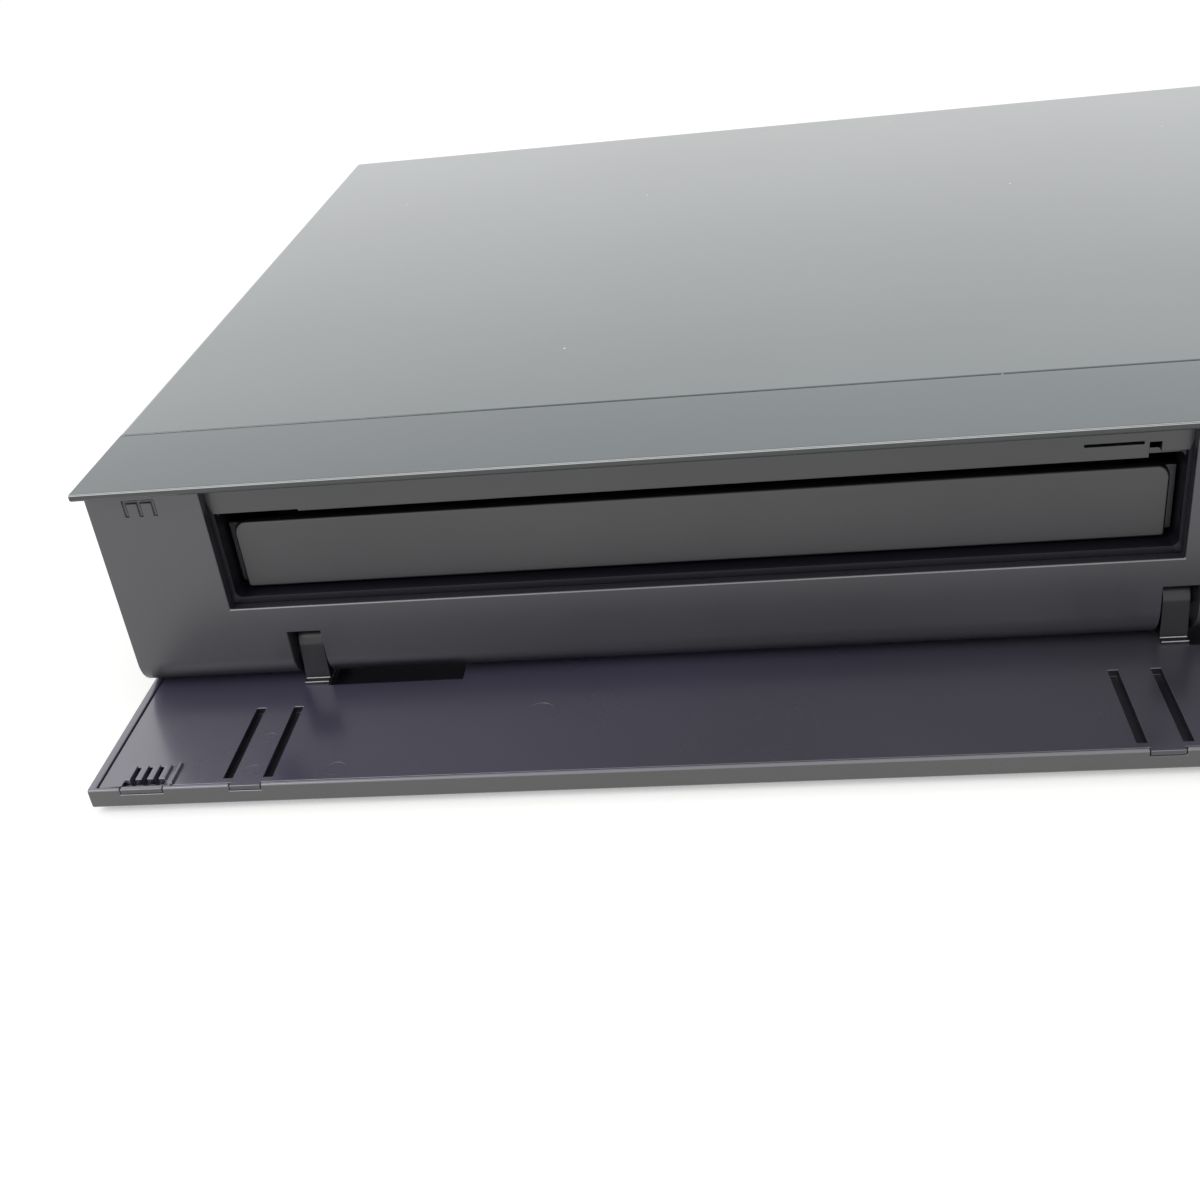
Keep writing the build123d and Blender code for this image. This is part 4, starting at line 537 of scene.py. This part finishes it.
# Operators, one for each group of pieces
class RECORDER_OT_finishes(bpy.types.Operator):
    """Makes every finish and gives each CAD piece its own"""

    bl_idname = "recorder.finishes"
    bl_label = "Finishes"

    def execute(self, context):
        look = context.scene.recorder_finish
        # A moulded plastic takes its colour, its roughness, and its grain's width and depth in millimetres
        materials.update({
            # Casing: satin paint, dull moulded panel, bluish acrylic door with a greyer cut edge
            "black_paint": sprayed_paint("painted_sheet_steel", look.paint, 0.8, 1.0),
            "strip_paint": sprayed_paint("painted_plastic_strip", look.strip, 0.6, 0.8),
            "zinc_steel": galvanised_steel(),
            "black_plastic": moulded_plastic("moulded_abs", look.panel, 0.34, 0.5, 0.008),
            "plate_plastic": moulded_plastic(
                "moulded_abs_plate", look.plate, 0.36, 0.6, 0.008, level=0.93),
            "dark_plastic": moulded_plastic("matt_polystyrene", look.surround, 0.45, 0.6, 0.006, level=0.3),
            "door_plastic": smoked_acrylic(look.door),
            "door_edge": moulded_plastic("acrylic_edge", "353535", 0.3, 0.9, 0.004),
            "arm_plastic": moulded_plastic("gloss_acetal_arm", "1B1A21", 0.3, 0.9, 0.003, level=0.6),
            # Fine lines along edges: a painted highlight on the lip's and arms' rounded edges, a painted
            # highlight line on the panel, painted shade on the lip's front face and in the door's grooves
            "lip_face_painted_shade": moulded_plastic("lip_front_painted_shade", "26282A", 0.3, 0.5, 0.004, level=0.7),
            "painted_highlight_edge": moulded_plastic("edge_painted_highlight", "B4B6B6", 0.25, 0.5, 0.003),
            "panel_line_painted_highlight": moulded_plastic("opening_foot_painted_highlight", "76787A", 0.25, 0.5, 0.003),
            "groove_shade": moulded_plastic("door_grooves", "1A1822", 0.3, 0.6, 0.004),
            # Sockets and window: milky insulators, gilt contacts, black glossy display window
            "insulator": moulded_plastic("polyethylene_insulator", "DADAD2", 0.4, 0.8, 0.004, level=0.5),
            "gold_plate": bare_metal("gold_plate", "D9AE52", 0.2, 0.4, 0.002),
            "smoked_window": moulded_plastic("smoked_window", "08080A", 0.06, 2.0, 0.001, coat=1.0),
            # Inside the case: boards, drive mouldings, bare and plated metal, small component bodies
            "grey_plastic": moulded_plastic("display_module", "30383A", 0.3, 1.0, 0.004),
            "drive_plastic": moulded_plastic("moulded_pc_abs", "1C1C1E", 0.42, 0.5, 0.01),
            "circuit_board": circuit_board(look.board),
            "rubber": rubber(),
            "steel": bare_metal("ground_steel", "B9BABB", 0.3, 0.3, 0.003),
            "nickel": bare_metal("nickel_plate", "C9C6BC", 0.22, 0.5, 0.002),
            "cast": bare_metal("cast_aluminium", "AEB0B2", 0.45, 0.7, 0.02),
            "black_anodised": bare_metal("black_anodised_aluminium", "2A2A2C", 0.4, 0.4, 0.004),
            "gear_plastic": moulded_plastic("acetal", "E6E3D8", 0.4, 0.6, 0.004, level=0.5),
            "lens_glass": clear_lens(),
            "capacitor_sleeve": moulded_plastic("shrink_sleeve", "1B1D33", 0.25, 2.0, 0.004),
            "transformer_tape": moulded_plastic("polyester_tape", "B79A3C", 0.3, 3.0, 0.01),
        })
        # Every CAD piece wears its slot's finish, and the tray's plate the one that matches the bar over it
        for part in frame["record"]["subparts"]:
            node = frame["nodes"][part["node"]]
            slot = "plate_plastic" if part["node"] == "tray_plate" else part["material_slot"]
            for holder in [node, *node.children_recursive]:
                if holder.type == "MESH":
                    for index in range(len(holder.material_slots)):
                        holder.material_slots[index].link = "OBJECT"
                        holder.material_slots[index].material = materials[slot]
        return {"FINISHED"}


class RECORDER_OT_stage(bpy.types.Operator):
    """Sets up the pale floor, the white surroundings, a soft lamp and the photograph's camera"""

    bl_idname = "recorder.stage"
    bl_label = "Stage"

    def execute(self, context):
        stage = context.scene.recorder_stage
        bpy.ops.object.select_all(action="DESELECT")
        bpy.ops.mesh.primitive_plane_add(size=stage.floor_size, location=(0, 0, 0))
        floor = context.object
        floor.name = "pale_floor"
        material, tree, place = blank_material("pale_paper")
        paper = add(tree, "ShaderNodeBsdfDiffuse", {
            "Color": mottle(tree, place, linear("F2F2F0"), linear(stage.floor_colour), 300.0)})
        lift = add(tree, "ShaderNodeMath", {
            0: seen_directly(tree), 1: stage.floor_glow}, operation="MULTIPLY")
        glow = add(tree, "ShaderNodeEmission", {"Color": (1, 1, 1, 1), "Strength": lift.outputs["Value"]})
        both = add(tree, "ShaderNodeAddShader", {0: paper.outputs["BSDF"], 1: glow.outputs["Emission"]})
        add(tree, "ShaderNodeOutputMaterial", {"Surface": both.outputs["Shader"]})
        floor.data.materials.append(material)

        world = bpy.data.worlds.new("white_surroundings")
        world.use_nodes = True
        tree = world.node_tree
        tree.nodes.clear()
        strength = add(tree, "ShaderNodeMapRange", {
            "Value": seen_directly(tree), "To Min": stage.sky_strength, "To Max": 1.0})
        sky = add(tree, "ShaderNodeBackground", {
            "Color": (1, 1, 1, 1), "Strength": strength.outputs["Result"]})
        add(tree, "ShaderNodeOutputWorld", {"Surface": sky.outputs["Background"]})
        context.scene.world = world

        bpy.ops.object.light_add(type="AREA", location=stage.lamp_place)
        lamp = context.object
        lamp.name = "soft_lamp"
        lamp.data.shape = "DISK"
        lamp.data.size = stage.lamp_size
        lamp.data.energy = stage.lamp_power
        lit_place = Vector((-0.1, 0, 0))
        lamp.rotation_euler = (lit_place - lamp.location).to_track_quat("-Z", "Y").to_euler()

        bpy.ops.object.camera_add(location=stage.camera_place, rotation=stage.camera_turn)
        camera = context.object
        camera.name = "photographer"
        camera.data.sensor_width = 36.0
        camera.data.lens = stage.camera_lens
        camera.data.clip_start = 0.01
        context.scene.camera = camera
        context.scene.view_settings.view_transform = "Standard"
        return {"FINISHED"}


class RECORDER_OT_casing(bpy.types.Operator):
    """Rounds the edges of the cover, strip, panel and rear plate, as bending and moulding leave them"""

    bl_idname = "recorder.casing"
    bl_label = "Casing"

    def execute(self, context):
        edge = context.scene.recorder_detail.edge_round / MM
        softened("top_cover", edge)
        softened("rear_panel", edge)
        softened("bottom_chassis", edge / 2)
        lip_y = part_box("top_strip")[0][1] / MM
        strip = softened("top_strip", edge, "strip_paint")
        # The strip's forward-facing faces are darkened as painted shade
        tint(strip, "lip_face_painted_shade", lambda middle, normal: normal.y < -STRAIGHT)
        # A bright line on the lip's top front edge is a painted highlight
        highlight_band, highlight_slope = 0.8, 0.25
        tint(strip, "painted_highlight_edge", lambda middle, normal: middle.y < lip_y + highlight_band
             and normal.y < -highlight_slope and normal.z > highlight_slope)
        panel = softened("front_panel", edge)
        face_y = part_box("front_panel")[0][1] / MM
        surround_wall, line_depth, line_end, line_reach = 1.5, 0.5, -40, 0.3
        opening_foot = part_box("tray_surround")[0][2] / MM + surround_wall
        # A painted highlight, a bright line, runs along the left part of the opening's foot alone, as far as
        # line_end
        tint(panel, "panel_line_painted_highlight", lambda middle, normal: middle.x < line_end
             and middle.y < face_y + line_depth and abs(middle.z - opening_foot) < line_reach
             and normal.y < -ASLANT and normal.z > ASLANT)
        surround = softened("tray_surround", edge / 2)
        bar_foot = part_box("tray_plate")[1][2] / MM
        tint(surround, "plate_plastic", lambda middle, normal: middle.z > bar_foot and normal.y < -STRAIGHT)
        return {"FINISHED"}


class RECORDER_OT_door(bpy.types.Operator):
    """Rounds the door's shell, liner and arms, and adds the ejector marks of the liner's mould"""

    bl_idname = "recorder.door"
    bl_label = "Fold-down door"

    def execute(self, context):
        edge = context.scene.recorder_detail.edge_round / MM
        shell = softened("door_shell", edge)
        tint(shell, "door_edge", lambda middle, normal: normal.y < -STRAIGHT)
        liner = softened("door_liner", edge / 2)
        liner_sink, groove_sink, toe_height, toe_reach = 0.15, 0.35, 0.5, 0.15
        groove_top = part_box("door_shell")[1][2] / MM - groove_sink
        tint(liner, "groove_shade", lambda middle, normal: middle.z < groove_top and normal.z > -0.5)
        arms = softened("door_arms", edge / 2, "arm_plastic")
        liner_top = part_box("door_shell")[1][2] - liner_sink * MM
        toe_top = liner_top / MM + toe_height
        # The arms' toe edge is lightened as a painted highlight
        tint(arms, "painted_highlight_edge", lambda middle, normal: abs(middle.z - toe_top) < toe_reach
             and normal.y < -ASLANT and normal.z > ASLANT)
        rings = []
        for number, (x, y, radius) in enumerate(EJECTOR_MARKS):
            ring = turned(f"mark_{number}", [(radius, -0.02), (radius, 0.03), (radius - 0.1, 0.03),
                                             (radius - 0.12, 0.005)], sides=40)
            rings.append(stood(ring, (x * MM, y * MM, liner_top), (0, 0, 1)))
        finished(joined("ejector_marks", rings), "door_liner")
        return {"FINISHED"}


class RECORDER_OT_tray(bpy.types.Operator):
    """Rounds the edges of the disc tray and its front plate"""

    bl_idname = "recorder.tray"
    bl_label = "Disc tray"

    def execute(self, context):
        edge = context.scene.recorder_detail.edge_round / MM
        softened("tray_plate", edge / 2, "plate_plastic")
        softened("tray", edge)
        return {"FINISHED"}


class RECORDER_OT_buttons(bpy.types.Operator):
    """Rounds the rims of the two buttons on the strip"""

    bl_idname = "recorder.buttons"
    bl_label = "Buttons"

    def execute(self, context):
        rim_round = 0.15
        for node in ("power_button", "eject_button"):
            softened(node, rim_round)
        return {"FINISHED"}


class RECORDER_OT_screws(bpy.types.Operator):
    """Cover screws with domed pan heads and cross recesses"""

    bl_idname = "recorder.screws"
    bl_label = "Cover screws"

    def execute(self, context):
        shank_radius, shank_length, head_radius, head_height = 1.4, 4.0, 2.9, 1.6
        recess_reach, recess_half_width, recess_floor, recess_taper = 1.55, 0.32, 0.4, 0.45
        head = turned("screw_head", [
            (shank_radius, -shank_length), (shank_radius, 0.0), (head_radius, 0.0), (head_radius, 0.5),
            (2.75, 0.95), (2.35, 1.3), (1.6, 1.52), (0.5, head_height)])
        for x, y in ((recess_reach, recess_half_width), (recess_half_width, recess_reach)):
            arm = brick("recess_arm", (-x, -y, recess_floor), (x, y, 1.5 * head_height))
            bpy.ops.object.mode_set(mode="EDIT")
            pick_faces(arm, lambda middle, normal: normal.z < -STRAIGHT)
            bpy.ops.transform.resize(value=(recess_taper, recess_taper, 1),
                                     center_override=(0, 0, recess_floor * MM))
            bpy.ops.object.mode_set(mode="OBJECT")
            cut_away(head, arm)
        activate(head)
        bpy.ops.object.shade_smooth_by_angle(angle=SMOOTH_ANGLE)
        heads = []
        for low, high in solid_boxes("cover_screws"):
            middle = (low + high) / 2
            wide = high - low
            if abs(wide.x - wide.z) < abs(wide.y - wide.z):
                place, towards = (middle.x, high.y - head_height * MM, middle.z), (0, 1, 0)
            else:
                side = 1 if middle.x > 0 else -1
                edge = high.x if side > 0 else low.x
                place, towards = (edge - side * head_height * MM, middle.y, middle.z), (side, 0, 0)
            heads.append(stood(copied(head), place, towards))
        bpy.data.objects.remove(head)
        screws = joined("cross_head_screws", heads)
        finished(screws, "cover_screws")
        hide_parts("cover_screws")
        return {"FINISHED"}


class RECORDER_OT_terminals(bpy.types.Operator):
    """Threaded antenna terminals with their nuts, insulators and pin holes"""

    bl_idname = "recorder.terminals"
    bl_label = "Antenna terminals"

    def execute(self, context):
        boxes = solid_boxes("antenna_terminals")
        low, high = boxes[0]
        length = (high.y - low.y) / MM
        outer, thread_length, pitch, nut_height = 4.75, 10.0, 0.8, 2.0
        pin_hole_radius, pin_hole_depth = 0.6, 6.0
        bare = length - thread_length
        place = bare + nut_height + 0.2
        profile = [(outer + 0.2, 0.0), (outer + 0.2, bare), (outer - 0.55, place)]
        while place < length - 1.4:
            profile += [(outer, place + 0.3), (outer, place + 0.4), (outer - 0.45, place + 0.7),
                        (outer - 0.45, place + pitch)]
            place += pitch
        profile += [(outer - 0.4, length - 0.5), (outer - 0.75, length), (outer - 1.35, length),
                    (outer - 1.35, length - 0.9), (0.9, length - 0.9), (pin_hole_radius, length - 1.1),
                    (pin_hole_radius, length - pin_hole_depth)]
        barrel = turned("terminal_barrel", profile)
        nut = turned("terminal_nut", [
            (outer + 0.3, bare), (outer + 1.05, bare), (outer + 1.05, bare + nut_height - 0.3),
            (outer + 0.75, bare + nut_height), (outer - 0.6, bare + nut_height)], sides=6)
        barrels, nuts, caps = [], [], []
        for low, high in boxes:
            place = ((low.x + high.x) / 2, low.y, (low.z + high.z) / 2)
            barrels.append(stood(copied(barrel), place, (0, 1, 0)))
            nuts.append(stood(copied(nut), place, (0, 1, 0)))
            cap = turned("insulator", [(outer - 1.3, length - 0.95), (outer - 1.3, length - 0.85),
                                       (0.95, length - 0.85), (0.95, length - 0.95)], sides=24)
            caps.append(stood(cap, place, (0, 1, 0)))
        for spare in (barrel, nut):
            bpy.data.objects.remove(spare)
        terminals = joined("threaded_terminals", barrels + nuts)
        finished(terminals, "antenna_terminals")
        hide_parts("antenna_terminals")
        finished(joined("terminal_insulators", caps), "antenna_terminals", "insulator")
        return {"FINISHED"}


class RECORDER_OT_sockets(bpy.types.Operator):
    """Gilt contacts inside the network, video and USB sockets"""

    bl_idname = "recorder.sockets"
    bl_label = "Socket contacts"

    def execute(self, context):
        low, high = (Vector(corner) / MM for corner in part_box("lan_socket"))
        middle = (low + high) / 2
        strips = contact_row(middle.x, 8, 1.02, 0.4, (high.y - 9.0, high.y - 3.0),
                             (middle.z + 3.2, middle.z + 3.5), 0.08)
        low, high = (Vector(corner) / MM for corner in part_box("hdmi_socket"))
        middle = (low + high) / 2
        strips += contact_row(middle.x, 10, 1.0, 0.36, (high.y - 7.0, high.y - 1.6),
                              (middle.z + 0.55, middle.z + 0.68), 0.04)
        for node, facing, below_top in (("rear_usb_socket", 1, 3.5), ("front_usb_socket", -1, 3.0)):
            low, high = (Vector(corner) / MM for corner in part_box(node))
            tongue_z = high.z - below_top
            mouth = high.y if facing > 0 else low.y
            strips += contact_row((low.x + high.x) / 2, 4, 2.2, 1.0,
                                  sorted((mouth - facing * 2.2, mouth - facing * 9.0)),
                                  (tongue_z - 0.05, tongue_z + 0.08), 0.04)
        finished(joined("gilt_contacts", strips), "lan_socket", "gold_plate")
        return {"FINISHED"}


class RECORDER_OT_feet(bpy.types.Operator):
    """Rubber feet with a rounded tread, a groove and a sunk fixing screw"""

    bl_idname = "recorder.feet"
    bl_label = "Feet"

    def execute(self, context):
        foot_radius, well_depth, groove_depth = 9.0, 2.6, 0.4
        for node in ("foot_front_left", "foot_front_right", "foot_rear_left", "foot_rear_right"):
            low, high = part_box(node)
            top = (high[2] - low[2]) / MM
            foot = turned(f"{node}_moulded", [
                (2.1, well_depth), (3.4, well_depth), (3.6, 0.35), (3.9, 0.0),
                (5.2, 0.0), (5.4, groove_depth), (5.9, groove_depth), (6.1, 0.0), (7.3, 0.0), (7.8, 0.25),
                (8.75, 1.5), (foot_radius, 1.9), (foot_radius, top - 0.3), (8.8, top), (4.0, top),
            ], sides=48)
            middle = ((low[0] + high[0]) / 2, (low[1] + high[1]) / 2, low[2])
            finished(stood(foot, middle, (0, 0, 1)), node)
            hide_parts(node)
            screw = turned(f"{node}_screw", [(2.9, 2.0), (2.9, 1.6), (2.4, 1.1), (1.2, 0.95)], sides=24)
            finished(stood(screw, middle, (0, 0, 1)), "cover_screws")
        return {"FINISHED"}


class RECORDER_PT_panel(bpy.types.Panel):
    """Lists the recorder's pieces, finishes and stage"""

    bl_label = "Disc recorder"
    bl_idname = "RECORDER_PT_panel"
    bl_space_type = "VIEW_3D"
    bl_region_type = "UI"
    bl_category = "Recorder"

    def draw(self, context):
        for group in GROUPS:
            holder = getattr(context.scene, group)
            box = self.layout.box()
            for name in holder.bl_rna.properties.keys():
                if name not in ("rna_type", "name"):
                    box.prop(holder, name)
        for operator in OPERATORS:
            self.layout.operator(operator.bl_idname)


GROUPS = {
    "recorder_stage": RecorderStage,
    "recorder_finish": RecorderFinish,
    "recorder_detail": RecorderDetail,
}
OPERATORS = (
    RECORDER_OT_stage, RECORDER_OT_finishes, RECORDER_OT_casing, RECORDER_OT_door, RECORDER_OT_tray,
    RECORDER_OT_buttons, RECORDER_OT_screws, RECORDER_OT_terminals, RECORDER_OT_sockets, RECORDER_OT_feet,
)


def register():
    """Registers the settings, operators and panel."""
    for name, group in GROUPS.items():
        bpy.utils.register_class(group)
        setattr(bpy.types.Scene, name, PointerProperty(type=group))
    for operator in OPERATORS:
        bpy.utils.register_class(operator)
    bpy.utils.register_class(RECORDER_PT_panel)


def unregister():
    """Takes the settings, operators and panel away again."""
    bpy.utils.unregister_class(RECORDER_PT_panel)
    for operator in reversed(OPERATORS):
        bpy.utils.unregister_class(operator)
    for name, group in GROUPS.items():
        delattr(bpy.types.Scene, name)
        bpy.utils.unregister_class(group)


def main():
    """Builds the dressed recorder."""
    register()
    bpy.ops.recorder.stage()
    bpy.ops.recorder.finishes()
    bpy.ops.recorder.casing()
    bpy.ops.recorder.door()
    bpy.ops.recorder.tray()
    bpy.ops.recorder.buttons()
    bpy.ops.recorder.screws()
    bpy.ops.recorder.terminals()
    bpy.ops.recorder.sockets()
    bpy.ops.recorder.feet()


if __name__ == "__main__":
    main()
